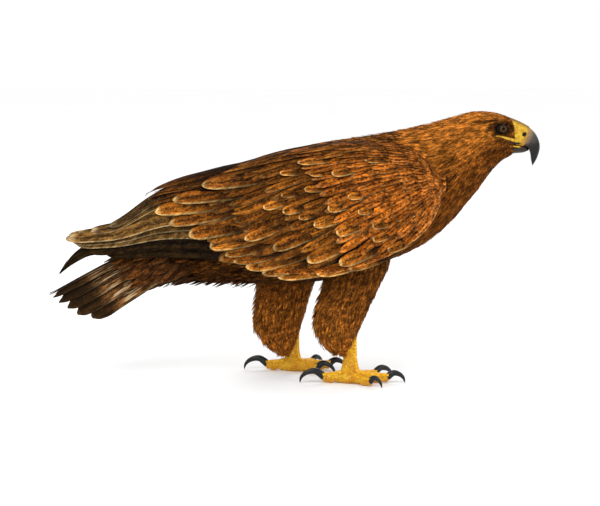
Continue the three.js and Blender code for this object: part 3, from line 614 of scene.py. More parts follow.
def vane_group():
    """Colours and height of a feather from its shares: dark streaks round the shaft, a pale rim at its lower
    edge and tip (Side 1) or at both edges (Side 0), barbs that slant from the shaft to the rim, painted
    shade towards the root, where the feathers above overlap it, and flecks of gold, brown and the rim's
    colour."""
    if "Vane" in bpy.data.node_groups:
        return bpy.data.node_groups["Vane"]
    group, given, out = new_group(
        "Vane",
        [(name, COLOR) for name in VANE_COLOURS] + [(name, FLOAT) for name in VANE_VALUES],
        [("Color", COLOR), ("Height", FLOAT), ("Roughness", FLOAT)],
    )

    def maths(*values):
        return calc(group, *values)

    def times(one, other):
        return calc(group, "MULTIPLY", one, other)

    vane = node(group, "ShaderNodeAttribute", attribute_name="vane").outputs["Vector"]
    mark = node(group, "ShaderNodeAttribute", attribute_name="mark").outputs["Vector"]
    s, t, tone = node(group, "ShaderNodeSeparateXYZ", {0: vane}).outputs
    gold, pale, shade = node(group, "ShaderNodeSeparateXYZ", {0: mark}).outputs
    away = maths("ABSOLUTE", t)
    place = objects_place(group)
    own = node(group, "ShaderNodeCombineXYZ", {0: tone, 1: tone, 2: tone}).outputs[0]
    shifted = node(group, "ShaderNodeVectorMath", {0: place, 1: own}, operation="ADD").outputs[0]
    fleck = noise(group, shifted, given["Fleck Size"], 3.0, 0.7)
    grain = noise(group, shifted, times(given["Fleck Size"], 2.1), 2.0, 0.6)
    sheet = {0: times(s, 3.0), 1: times(t, 3.5), 2: times(tone, 37.0)}
    streak = noise(group, node(group, "ShaderNodeCombineXYZ", sheet).outputs[0], 1.6, 4.0, 0.65)
    slant = maths("SUBTRACT", times(s, given["Barbs"]), times(away, 5.0))
    ripple = maths("ADD", slant, times(fleck, 1.2))
    barb = maths("MULTIPLY_ADD", maths("SINE", times(ripple, 6.283)), 0.5, 0.5)
    start = maths("SUBTRACT", 1.0, given["Rim Width"])
    ragged = maths("MULTIPLY_ADD", maths("SUBTRACT", fleck, 0.5), 0.35, start)
    both = times(away, maths("SUBTRACT", 1.0, given["Side"]))
    edge = span(group, maths("MAXIMUM", times(t, -1.0), both), ragged, 1.0)
    end = span(group, s, maths("MULTIPLY_ADD", given["Rim Width"], -0.22, 1.0), 1.0)
    rim = times(maths("MAXIMUM", edge, end), pale)
    heart = times(maths("SUBTRACT", 1.0, span(group, away, 0.04, given["Centre Width"])),
                  span(group, streak, 0.3, 0.6, 0.45, 1.0))
    web = blend(group, times(gold, 0.85), given["Web"], given["Gold"])
    web = blend(group, span(group, tone, 0.4, 1.0, 0.0, 0.5), web, given["Gold"])
    web = blend(group, span(group, streak, 0.48, 0.64, 0.0, 0.75), web, given["Centre"])
    web = blend(group, times(heart, 0.9), web, given["Centre"])
    web = blend(group, times(span(group, fleck, 0.5, 0.64), given["Flecks"]), web, given["Gold"])
    web = blend(group, times(rim, 0.92), web, given["Rim"])
    web = blend(group, times(span(group, fleck, 0.48, 0.34), given["Flecks"]), web, given["Centre"])
    web = blend(group, times(span(group, grain, 0.58, 0.7), given["Specks"]), web, given["Rim"])
    # Painted shade: each feather darkens towards its root, where the feathers above overlap it.
    root = times(span(group, s, 0.9, 0.3), given["Root"])
    light = times(span(group, tone, 0.0, 1.0, 0.74, 1.24), span(group, barb, 0.0, 1.0, 0.9, 1.06))
    lean = {"Vector": place, "Rotation": (0, -0.45, 0), "Scale": (2.6, 1, 1)}
    sloped = node(group, "ShaderNodeMapping", lean, vector_type="TEXTURE").outputs[0]
    light = times(light, span(group, noise(group, sloped, 150.0, 3.0, 0.6), 0.39, 0.61, 0.55, 1.4))
    # The mark's shade darkens the feather: darker plumage in places, and painted shadow under and beside the
    # wing in others.
    light = times(light, maths("MULTIPLY_ADD", shade, -0.8, 1.0))
    light = times(light, maths("SUBTRACT", 1.0, root))
    grey = node(group, "ShaderNodeCombineColor", {0: light, 1: light, 2: light}).outputs[0]
    group.links.new(blend(group, 1.0, web, grey, "MULTIPLY"), out["Color"])
    shaft = maths("SUBTRACT", 1.0, span(group, away, 0.0, 0.09))
    height = maths("ADD", times(barb, 0.35), maths("ADD", shaft, times(fleck, 0.6)))
    group.links.new(height, out["Height"])
    group.links.new(span(group, fleck, 0.2, 0.8, 0.7, 0.9), out["Roughness"])
    return group


def new_material(name):
    """An empty material, with its tree and its Principled shader."""
    material = bpy.data.materials.new(name)
    material.use_nodes = True
    return material, material.node_tree, material.node_tree.nodes["Principled BSDF"]


def surface_material(name, color, roughness, height=None, bump=0.0, **sockets):
    """A Principled material: color is a function of its tree, and height is one too, or the scale and detail
    of a noise. bump is the relief's depth in metres."""
    material, tree, shader = new_material(name)
    tree.links.new(color(tree), shader.inputs["Base Color"])
    shader.inputs["Roughness"].default_value = roughness
    if height is not None:
        relief = height(tree) if callable(height) else noise(tree, objects_place(tree), *height)
        bumped = node(tree, "ShaderNodeBump", {"Height": relief, "Strength": 1.0, "Distance": bump})
        tree.links.new(bumped.outputs[0], shader.inputs["Normal"])
    for key, value in sockets.items():
        shader.inputs[key.replace("_", " ")].default_value = value
    return material


# The look of each region's feathers: the values of VANE_COLOURS, each the name of a colour in the panel or a
# code, and then those of VANE_VALUES.
FEATHER_LOOKS = {
    "Head feathers": ("b25c16", "rim", "nape", "centre", 0.35, 0.3, 0, 14, 300, 0.6, 0.35, 0.2),
    "Nape hackles": ("c66a18", "rim", "nape", "centre", 0.3, 0.24, 0, 22, 260, 0.5, 0.5, 0.2),
    "Body feathers": ("web", "rim", "gold", "centre", 0.3, 0.5, 0, 26, 230, 0.7, 0.15, 0.6),
    "Trouser feathers": ("web", "rim", "e4862a", "centre", 0.3, 0.45, 0, 20, 260, 0.7, 0.25, 0.35),
    "Wing coverts": ("web", "rim", "gold", "centre", 0.36, 0.5, 0.7, 34, 260, 0.6, 0.3, 0.85),
    "Shoulder feathers": ("a4560f", "eab06a", "d8741c", "centre", 0.5, 0.5, 0.5, 14, 220, 0.9, 0.5, 0.7),
    "Flight feathers": ("flight", "d0b484", "805a28", "centre", 0.24, 0.55, 0.9, 70, 220, 0.6, 0.3, 0.3),
    "Tail feathers": ("tail", "c8ae84", "7c4e22", "centre", 0.2, 0.35, 0, 90, 260, 0.6, 0.2, 0.2),
    "Tail coverts": ("tail", "b09468", "web", "centre", 0.25, 0.5, 0, 40, 260, 0.6, 0.2, 0.5),
}
FEATHER_BUMP = 0.0004
FEATHER_SPECULAR = 0.05


def feather_material(name, banded=False):
    """Feathers of one region: the vane group with the region's look, and the tail's bands where it is
    banded."""
    look, p = dict(zip(VANE_COLOURS + VANE_VALUES, FEATHER_LOOKS[name])), palette()
    material, tree, shader = new_material(name)
    vane = tree.nodes.new("ShaderNodeGroup")
    vane.node_tree = vane_group()
    for key, value in look.items():
        if isinstance(value, str):
            value = (*(p.get(value) or srgb(value)), 1)
        vane.inputs[key].default_value = value
    color = vane.outputs["Color"]
    if banded:
        color = tail_bands(tree, color, srgb(look["Rim"]))
    tree.links.new(color, shader.inputs["Base Color"])
    tree.links.new(vane.outputs["Roughness"], shader.inputs["Roughness"])
    relief = {"Height": vane.outputs["Height"], "Strength": 1.0, "Distance": FEATHER_BUMP}
    tree.links.new(node(tree, "ShaderNodeBump", relief).outputs[0], shader.inputs["Normal"])
    shader.inputs["Specular IOR Level"].default_value = FEATHER_SPECULAR
    return material


def tail_bands(tree, color, rim):
    """Whitish streaks along the middle of the tail feathers and a dark end."""
    vane = node(tree, "ShaderNodeAttribute", attribute_name="vane").outputs["Vector"]
    s, t, tone = node(tree, "ShaderNodeSeparateXYZ", {0: vane}).outputs
    stretch = ((s, 4.0), (t, 4.5), (tone, 40.0))
    sheet = {i: calc(tree, "MULTIPLY", *pair) for i, pair in enumerate(stretch)}
    streak = noise(tree, node(tree, "ShaderNodeCombineXYZ", sheet).outputs[0], 1.0, 4.0, 0.65)
    middle = calc(tree, "MULTIPLY", span(tree, s, 0.3, 0.42), span(tree, s, 0.74, 0.62))
    whitish = calc(tree, "MULTIPLY", span(tree, streak, 0.54, 0.62), middle)
    pale = blend(tree, calc(tree, "MULTIPLY", whitish, 0.7), color, rim)
    dark = blend(tree, calc(tree, "MULTIPLY", span(tree, streak, 0.5, 0.4), 0.7), pale, TINTS["tail_dark"])
    return blend(tree, calc(tree, "MULTIPLY", span(tree, s, 0.66, 0.8), 0.85), dark, TINTS["tail_end"])


# Settings


def colour(label, text, code):
    """A colour of the panel, from its code."""
    return bpy.props.FloatVectorProperty(
        name=label, description=text, subtype="COLOR", size=3, min=0, max=1, default=srgb(code)
    )


class EagleColours(bpy.types.PropertyGroup):
    """Colours of the bird."""

    web: colour("Web", "Warm brown of the body feathers", "964e10")
    centre: colour("Centre", "Dark brown along each feather's shaft", "200c02")
    rim: colour("Rim", "Pale buff rim of the wing feathers", "f0c67c")
    gold: colour("Gold", "Golden brown of the back and wings", "ca7820")
    nape: colour("Nape", "Gold of the crown and nape", "ff962c")
    flight: colour("Flight feathers", "Greyer brown of the flight feathers", "6a4a20")
    tail: colour("Tail", "Dark brown of the tail feathers", "4e341a")
    horn: colour("Horn", "Blue-grey of the bill", "6a6660")
    talon: colour("Talon", "Black of the talons", "0c0b0b")
    cere: colour("Cere", "Yellow of the cere and gape", "d8ae26")
    toes: colour("Toes", "Orange yellow of the toes and shanks", "fcc41a")
    iris: colour("Iris", "Amber brown of the iris", "5e3f12")
    floor: colour("Floor", "Pale floor", "ffffff")


class EagleSizes(bpy.types.PropertyGroup):
    """Sizes of the coat and the studio."""

    coat_depth: bpy.props.FloatProperty(
        name="Coat depth", description="How far the skin lies under the body feathers' tips", default=0.005,
        min=0.001, max=0.01, unit="LENGTH",
    )
    body_columns: bpy.props.IntProperty(
        name="Body columns", description="Columns of feathers round the body", default=76, min=20, max=140
    )
    head_columns: bpy.props.IntProperty(
        name="Head columns", description="Columns of feathers round the head", default=96, min=30, max=160
    )
    camera_distance: bpy.props.FloatProperty(
        name="Camera distance", description="From the camera to the bird", default=3.1, min=1, max=10,
        unit="LENGTH",
    )
    key_power: bpy.props.FloatProperty(
        name="Key light", description="Power of the large soft light", default=42, min=0, max=1000,
        unit="POWER",
    )


def palette():
    """The colours set in the panel, by name."""
    given = bpy.context.scene.eagle_colours
    return {name: tuple(getattr(given, name)) for name in EagleColours.__annotations__}


class EagleOperator:
    """What all the operators share."""

    bl_options = {"REGISTER", "UNDO"}

    def execute(self, context):
        self.build(context)
        return {"FINISHED"}


# Skin


def skin_material():
    """Down and skin under the feathers, with the coat's markings."""

    def color(tree):
        mark = node(tree, "ShaderNodeAttribute", attribute_name="mark").outputs["Vector"]
        gold, _, shade = node(tree, "ShaderNodeSeparateXYZ", {0: mark}).outputs
        p = palette()
        base = blend(tree, gold, p["web"], p["gold"])
        base = blend(tree, calc(tree, "MULTIPLY_ADD", shade, 0.3, 0.68), base, p["centre"])
        fleck = noise(tree, objects_place(tree), 420.0, 3.0)
        base = blend(tree, span(tree, fleck, 0.4, 0.7, 0.0, 0.4), base, p["centre"])
        # The mark's shade darkens the skin: darker plumage in places, and painted shadow in others, as on the
        # wing's arm.
        return blend(tree, calc(tree, "MULTIPLY", shade, 0.8), base, TINTS["deep_shade"])

    return surface_material("Skin and down", color, 0.85, (500.0, 3.0), 0.0008, Specular_IOR_Level=0.1)


def body_skin(depth):
    """Rings of the body and head, under the coat: the surface moved in along its normal by the coat's depth,
    which grows from the face to the breast."""
    x = np.concatenate([np.arange(-296, 280, 6), np.arange(280, 362.6, 1.5)])[:, None]
    turn = np.linspace(-180, 180, 144, endpoint=False)[None, :]
    point, normal = lay(body_surface, x, turn, *BODY_LAY)
    under = depth * (1 - 0.72 * smoothstep(240, 320, x))[..., None]
    return tube_mesh(point - normal * under)


def thigh_skin(foot, depth):
    """Rings of one thigh: the trouser's surface moved in along its normal by the coat's depth, less near the
    hem."""
    up = np.linspace(3, 168, 40)[:, None]
    turn = np.linspace(0, 360, 48, endpoint=False)[None, :]
    point, normal = lay(trouser_surface(foot), up, turn, *TROUSER_LAY)
    rings = point - normal * np.minimum(depth, 1 + up / 12)[..., None]
    points, faces = tube_mesh(rings)
    points = points * (1, foot["sign"], 1)
    return points, outward(points, faces)


def apply_modifiers(obj):
    """The object's mesh with its modifiers worked in."""
    graph = bpy.context.evaluated_depsgraph_get()
    mesh = bpy.data.meshes.new_from_object(obj.evaluated_get(graph))
    obj.modifiers.clear()
    obj.data = mesh


def merge_solids(name, parts, material):
    """One object from closed meshes, joined by Boolean unions."""
    first, *others = [put_mesh(f"{name}_{i}", *part, material) for i, part in enumerate(parts)]
    for other in others:
        union = first.modifiers.new("union", "BOOLEAN")
        union.operation = "UNION"
        union.solver = "EXACT"
        union.object = other
    apply_modifiers(first)
    for other in others:
        bpy.data.objects.remove(other)
    first.name = first.data.name = name
    first.data.shade_smooth()
    return first


class EAGLE_OT_skin(EagleOperator, bpy.types.Operator):
    """Body, neck, head and thighs as one skin under the feathers"""

    bl_idname = "eagle.skin"
    bl_label = "Skin"

    def build(self, context):
        depth = context.scene.eagle_sizes.coat_depth / MM
        parts = [body_skin(depth)] + [thigh_skin(foot, depth) for foot in FEET.values()]
        skin = merge_solids("skin", parts, skin_material())
        place = np.empty(len(skin.data.vertices) * 3, np.float32)
        skin.data.vertices.foreach_get("co", place)
        place = place.reshape(-1, 3) / MM
        top, bottom = through(BODY[:, 0], BODY[:, 1:3], place[:, 0]).T
        turn = np.degrees(np.arctan2(place[:, 1], place[:, 2] - (top + bottom) / 2))
        marks = np.stack(body_marks(place[:, 0], turn, place), -1).astype(np.float32)
        skin.data.attributes.new("mark", "FLOAT_VECTOR", "POINT").data.foreach_set("vector", marks.ravel())
        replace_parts(skin, "torso", "neck", "head", "thigh_left", "thigh_right")


# Coat


def body_place(x, turn):
    """Where a feather's root lies on the unwrap of the skin: turn across, length along."""
    return np.stack([unwrap((turn + 180) / 360), unwrap((x + 300) / 670)], -1)


# Where the folded wing hides the body: x, and the turns of its upper and lower border.
WING_COVER = np.array([(-220, 34, 128), (-60, 34, 118), (60, 42, 100), (150, 60, 80)])
WING_COVER_REAR = -240


def covered_by_wing(x, turn):
    """Where the folded wing lies over the body, so that no feather there would show."""
    keys, upper, lower = WING_COVER.T
    side = np.abs(turn)
    inside = (side > np.interp(x, keys, upper)) & (side < np.interp(x, keys, lower))
    return inside & (x < keys[-1]) & (x > WING_COVER_REAR)


# Where the rows of feathers start and end on their surface, and the steps between them.
HEAD_ROWS = {"start": 362, "end": 292, "spacing": ((292, 330, 360), (3.6, 2.8, 2))}
NAPE_ROWS = {"start": 314, "end": 200, "spacing": ((206, 310), (7, 4))}
BODY_ROWS = {"start": 232, "end": -286, "spacing": ((-280, 0, 230), (8, 10, 7.5))}
TROUSER_ROWS = {"start": 164, "end": 2, "spacing": ((0, 160), (4.2, 7))}

# What the coat keeps clear of: an ellipsoid at the eye, the face in front of one x, the tail behind another.
EYE_CLEAR = (EYE + (0, 5, 0), (10.304, 9.2, 8.28))
FACE_END = 360
TAIL_START = -330


def clear_of_face(root, tip):
    """Feathers whose roots and tips stay off the eye, the cere and the gape."""
    keep = np.ones(len(root), bool)
    for share in (0, 0.35, 0.7, 1):
        keep &= within(root + (tip - root) * share, EYE_CLEAR) > 1
    return keep & (root[:, 0] < FACE_END)


def coat(x, turn, gap, length, width, lift, crown, rng, rows=5, spread=3, thick=0.4):
    """Feathers on the body that point back along it, with their marks and their places on the unwrap. length
    and width are in steps of gap, lift is the height at root and tip, and spread turns the tips aside in
    degrees."""
    count = len(x)
    reach = gap * length * rng.uniform(0.85, 1.15, count)
    slope = lay_length(x, turn)
    tip_x = x - reach / slope
    tip_turn = turn + rng.uniform(-spread, spread, count)
    root, tip = np.stack([x, turn], -1), np.stack([tip_x, tip_turn], -1)
    point = body_surface(x, turn)
    marks = body_marks(x, turn, point)
    keep = clear_of_face(point, body_surface(tip_x, tip_turn)) & (tip_x > TAIL_START)
    half = gap * width * rng.uniform(0.88, 1.12, count)
    high = lift[1] * rng.uniform(0.7, 1.3, count)
    roll = rng.uniform(-0.25, 0.25, count)
    root, tip, half, high, roll = [values[keep] for values in (root, tip, half, high, roll)]
    grids = vanes(
        body_surface, BODY_LAY, root, tip, half, (lift[0], high), "lance", rows, columns=3, roll=roll,
        crown=crown, hug=1 / 140, thick=thick, flare=1.2,
    )
    return grids, [m[keep] for m in marks], body_place(x, turn)[keep], PATCH


def lay_length(x, turn):
    """Millimetres of the body's surface for each millimetre of x."""
    return np.linalg.norm(body_surface(x + 1, turn) - body_surface(x - 1, turn), axis=-1) / 2


class EAGLE_OT_head(EagleOperator, bpy.types.Operator):
    """Small feathers of the face, crown and throat"""

    bl_idname = "eagle.head"
    bl_label = "Head feathers"

    def build(self, context):
        rng = np.random.default_rng(SEED + 1)
        count = context.scene.eagle_sizes.head_columns
        turns = np.linspace(-180, 180, count, endpoint=False)
        x, turn, gap = columns_over(body_surface, turns, **HEAD_ROWS, rng=rng)
        material = feather_material("Head feathers")
        batch = coat(x, turn, gap, length=3.6, width=0.58, lift=(-0.6, 1.1), rng=rng, crown=0.2, thick=0.25)
        plumage("head_feathers", material, [batch, self.forehead(rng)], rng)

    def forehead(self, rng):
        """Small feathers that run from the brow onto the top of the cere."""
        t, turn = np.meshgrid(np.linspace(0.02, 0.22, 13), np.linspace(-52, 52, 15), indexing="ij")
        t = (t + rng.uniform(-0.006, 0.006, t.shape)) * (1 - 0.3 * (turn / 52) ** 2)
        root = np.stack([t.ravel(), turn.ravel() + rng.uniform(-2, 2, t.size)], -1)
        tip = root - np.stack([rng.uniform(0.05, 0.075, t.size), 0 * t.ravel()], -1)
        count = len(root)
        rise = (-0.3, rng.uniform(0.7, 1.3, count))
        grids = vanes(
            forehead_surface, BILL_LAY, root, tip, 1.5, rise, "lance", rows=5, columns=3, roll=0, crown=0.2,
            thick=0.25,
        )
        place = np.stack([0.5 + root[:, 1] / 400, np.full(count, 0.97)], -1)
        return grids, (0.5, 0.3, 0.5), place, PATCH


class EAGLE_OT_nape(EagleOperator, bpy.types.Operator):
    """Long pointed golden feathers of the nape and the neck"""

    bl_idname = "eagle.nape"
    bl_label = "Nape hackles"

    def build(self, context):
        rng = np.random.default_rng(SEED + 2)
        turns = np.linspace(-180, 180, 104, endpoint=False)
        x, turn, gap = columns_over(body_surface, turns, **NAPE_ROWS, rng=rng)
        material = feather_material("Nape hackles")
        batch = coat(
            x, turn, gap, length=5, width=0.42, lift=(-1.6, 2.3), rng=rng, rows=8, crown=0.4, spread=2.5,
            thick=0.35,
        )
        plumage("nape_hackles", material, [batch], rng)


HEM_COUNT = 90
HEM_GAP = 5.5


class EAGLE_OT_body(EagleOperator, bpy.types.Operator):
    """Feathers of the breast, belly, flanks and back, with a ragged hem behind the thighs"""

    bl_idname = "eagle.body"
    bl_label = "Body feathers"

    def build(self, context):
        rng = np.random.default_rng(SEED + 3)
        turns = np.linspace(-180, 180, context.scene.eagle_sizes.body_columns, endpoint=False)
        x, turn, gap = columns_over(body_surface, turns, **BODY_ROWS, rng=rng)
        shown = ~covered_by_wing(x, turn)
        x, turn, gap = x[shown], turn[shown], gap[shown]
        material = feather_material("Body feathers")
        batch = coat(
            x, turn, gap, length=3.8, width=0.56, lift=(-3, 2), rng=rng, rows=7, crown=0.7, spread=5
        )
        x, turn = rng.uniform(-175, -50, HEM_COUNT), 180 + rng.uniform(-40, 40, HEM_COUNT)
        gap = np.full(HEM_COUNT, HEM_GAP)
        hem = coat(
            x, turn, gap, length=5.5, width=0.7, lift=(-3, 10), rng=rng, rows=8, crown=0.7, spread=8
        )
        plumage("body_feathers", material, [batch, hem], rng)


class EAGLE_OT_trousers(EagleOperator, bpy.types.Operator):
    """Shaggy feathers of the thighs"""

    bl_idname = "eagle.trousers"
    bl_label = "Trousers"

    def build(self, context):
        material = feather_material("Trouser feathers")
        for side, foot in FEET.items():
            rng = np.random.default_rng(SEED + 4)
            surface = trouser_surface(foot)
            turns = np.linspace(0, 360, 56, endpoint=False)
            up, turn, gap = columns_over(surface, turns, **TROUSER_ROWS, rng=rng)
            count = len(up)
            reach = gap * 3.8 * rng.uniform(0.75, 1.3, count)
            behind = np.maximum(0, -np.cos(np.radians(turn)))
            hem = smoothstep(40, 0, up)
            root = np.stack([up, turn], -1)
            low = np.maximum(up - reach, -9 * rng.random(count))
            tip = np.stack([low, turn + rng.uniform(-6, 6, count)], -1)
            loose = (1.2 + 3.2 * behind + 2.2 * hem) * rng.uniform(0.4, 1.7, count)
            roll = rng.uniform(-0.3, 0.3, count)
            grids = vanes(
                surface, TROUSER_LAY, root, tip, gap * 0.55, (-2.5, loose), "strand", rows=6, columns=3,
                roll=roll, crown=0.4, thick=0.4, flare=1.4,
            )
            level = foot["hem"] + up
            # The trousers darken towards their tops: painted shadow under the wing.
            marks = (0.35 + 0.65 * smoothstep(150, 70, level), 0.3, 0.6 * smoothstep(120, 195, level))
            place = np.stack([unwrap(turn / 360), unwrap(up / 170)], -1)
            plumage(f"trousers_{side}", material, [(grids, marks, place, PATCH)],
                    rng, foot["sign"])


# Wings

# Tiers from the tip of the arm to the bend: feathers, root and tip along the wing at its lower and its upper
# edge, half width in millimetres, how much higher each root starts than its tip ends, across the wing, and
# the rim's paleness.
WING_TIERS = [
    (10, (0.36, 0.42), (0.63, 0.72), 13, 0.3, 0.35),
    (11, (0.27, 0.32), (0.52, 0.62), 12, 0.28, 0.3),
    (12, (0.2, 0.25), (0.41, 0.51), 11, 0.26, 0.3),
    (15, (0.14, 0.18), (0.32, 0.4), 8.6, 0.24, 0.4),
    (19, (0.11, 0.13), (0.25, 0.31), 6.6, 0.2, 0.45),
    (23, (0.08, 0.095), (0.195, 0.245), 5.4, 0.16, 0.5),
    (26, (0.055, 0.065), (0.15, 0.19), 4.8, 0.12, 0.5),
    (28, (0.03, 0.035), (0.11, 0.145), 4.4, 0.1, 0.5),
    (30, (0.012, 0.014), (0.078, 0.105), 4, 0.06, 0.5),
    (32, (-0.006, -0.008), (0.05, 0.068), 3.6, 0.03, 0.6),
]

# The feathers of the picture that stand out from the tiers, as seen from the side: the tip's x and height,
# the root's x and height, half width, height of the tip over the wing, and shade.
SHOWN = np.array([
    (-149, 315, -12, 336, 16.5, 6.5, 0.1), (-196, 292, -45, 310, 15.1, 5.2, 0.15),
    (-225, 273, -84, 290, 15.9, 3.8, 0.25), (-203, 254, -34, 290, 12.1, 2.8, 0.2),
    (-169, 237, -45, 262, 13.8, 2.2, 0.15), (-136, 218, -29, 244, 12.1, 1.6, 0.2),
    (-79, 230, 10, 265, 9.1, 5.2, 0.05), (-33, 215, 70, 257, 11, 5, 0.05),
    (21, 196, 112, 240, 11.5, 4.6, 0.1), (73, 190, 164, 234, 11.5, 4.6, 0.05),
    (-110, 205, -18, 234, 8.2, 1.4, 0.2), (-96, 195, 10, 223, 8.2, 1.4, 0.15),
    (-78, 186, 35, 209, 9.3, 1.2, 0.1), (-51, 175, 70, 200, 9.3, 1.6, 0.1), (-26, 170, 103, 197, 9.3, 2, 0),
    (35, 176, 145, 208, 9.9, 2.6, 0), (87, 183, 175, 216, 8.8, 3.2, 0), (-22, 333, 24, 340, 7.4, 8, 0),
    (6, 348, 92, 364, 9.3, 8.4, 0.2), (24, 331, 70, 339, 6.9, 8.6, 0), (62, 331, 117, 348, 10.2, 8.8, 0.1),
    (-48, 279, 10, 298, 8.8, 5.8, 0.1), (-18, 273, 32, 286, 9.1, 6.4, 0), (9, 263, 46, 273, 6.6, 7, 0.1),
    (32, 253, 92, 271, 9.6, 7.2, 0), (67, 239, 125, 262, 10.4, 7, 0), (55, 277, 103, 289, 9.1, 7.6, 0.1),
    (17, 307, 62, 314, 7.1, 7.4, 0.2), (114, 353, 175, 360, 7.4, 6.2, 0.1), (124, 251, 175, 264, 7.4, 6, 0.1),
    (103, 273, 145, 282, 6.9, 6.6, 0.1), (87, 296, 131, 303, 7.1, 6.8, 0.1),
    (125, 229, 175, 248, 7.1, 5.6, 0.1), (-20, 298, 24, 307, 6.9, 6.6, 0.3),
    (150, 213, 204, 240, 8, 5.6, 0.15),
])

# The long feathers of the shoulder that lie along the back, seen from the side in the same way.
SCAPULARS = np.array([
    (-243, 300, -73, 356, 9.9), (-196, 311, -18, 368, 9.3), (-172, 321, -7, 358, 8.2),
    (-130, 335, 10, 372, 8.8), (-100, 346, 40, 380, 8), (-62, 348, 76, 379, 8.8), (-30, 362, 110, 396, 9),
    (4, 367, 145, 395, 10.4), (30, 354, 130, 378, 8), (70, 365, 175, 387, 8.2), (100, 376, 190, 398, 8),
    (-240, 291, -90, 336, 10.5), (-238, 280, -96, 322, 10.5), (-228, 300, -60, 342, 10),
])

# The last three of these lie at the rear: how high their tips stand, and their shade.
REAR_SCAPULARS = {"rise": (4.4, 3, 5.6), "shade": (0.85, 0.8, 0.7)}
LARGE_TIERS = 3
TILT = math.tan(math.radians(8))

# Flight feathers that show past the coverts: where each starts across the wing, how far along it ends and
# where across the wing, half width, sag, and shade. The last one's blunt tip ends the wing; the first two are
# the dark ones below, their shade a painted shadow along the wing's lower edge.
PRIMARIES = np.array([
    (0.06, 0.9, 0.2, 13, 0.02, 1.12), (0.16, 0.94, 0.36, 13, 0.04, 1.12), (0.3, 0.965, 0.62, 12, 0.1, 0.35),
    (0.4, 0.975, 0.72, 12, 0.1, 0.2), (0.5, 0.98, 0.8, 12, 0.09, 0.3), (0.6, 0.972, 0.86, 12.5, 0.08, 0.2),
    (0.7, 0.93, 0.95, 12, 0.02, 0.3), (0.8, 0.88, 0.98, 12, 0.02, 0.45), (0.56, 0.992, 0.79, 11.5, 0.13, 0.1),
])
OUTER_PRIMARY = np.array([
    (0, 0.1), (0.42, 0.1), (0.6, 0.2), (0.74, 0.33), (0.86, 0.3), (0.95, 0.02), (1, -0.34),
])


ARM_END = 0.64
ARM_THICK = (14, 4)
ARM_EDGES = (0.02, 0.98)


def wing_arm():
    """The arm under the wing's feathers: a closed shell whose outer face lies just under the vanes, with a
    front edge rounded as a quarter circle, and which thins towards its end and its two borders."""
    low, high = ARM_EDGES
    steps = 30
    along = np.linspace(0, ARM_END, 44)[:, None]
    across = np.concatenate([np.linspace(low, high, steps), np.linspace(high, low, steps)])[None, :]
    outer = (np.arange(2 * steps) < steps)[None, :]
    point, normal = lay(wing_surface, along, across, *WING_LAY)
    edge = np.sqrt(np.clip(1 - (1 - np.clip(along / 0.035, 0, 1)) ** 2, 0, 1))
    thick = (ARM_THICK[0] - (ARM_THICK[0] - ARM_THICK[1]) * along / ARM_END) * edge
    height = np.where(outer, -2.2 - 5 * (1 - edge), -2.7 - 5 * (1 - edge) - thick)
    rim = np.minimum(1, np.minimum(across - low, high - across) / 0.03)
    height = np.where(outer, height, height + thick * (1 - rim))
    return tube_mesh(point + normal * height[..., None])


def wing_tier(count, starts, ends, slant, rng):
    """Roots and tips of one tier, side by side from the wing's lower edge to the upper one, with their shares
    of the way between them."""
    v = (np.arange(count) + 0.5) / count
    v = np.clip(v + rng.uniform(-0.12, 0.12, count) / count, 0, 1)
    wobble = rng.uniform(-0.006, 0.006, count)
    start = starts[0] + (starts[1] - starts[0]) * v
    end = ends[0] + (ends[1] - ends[0]) * v + wobble
    root = np.stack([start, np.clip(v + slant * (1 - v) ** 0.7, 0, 1.02)], -1)
    return v, root, np.stack([end, np.clip(v, 0.02, 0.98)], -1)


def wing_place(x, seen):
    """Shares along and across the wing of points seen from the side at x and at a height: the nearest of a
    fine grid of places, since a point nearer to the eye looks lower by TILT times its distance from the
    middle."""
    along, across = np.meshgrid(np.linspace(0, 1, 301), np.linspace(-0.05, 1.02, 161), indexing="ij")
    point = wing_surface(along, across)
    view = np.stack([point[..., 0], point[..., 2] - TILT * point[..., 1]], -1).reshape(-1, 2)
    wanted = np.stack([x, seen], -1)
    nearest = np.argmin(np.sum((view[None] - wanted[:, None]) ** 2, -1), axis=1)
    return np.stack([along.ravel()[nearest], across.ravel()[nearest]], -1)


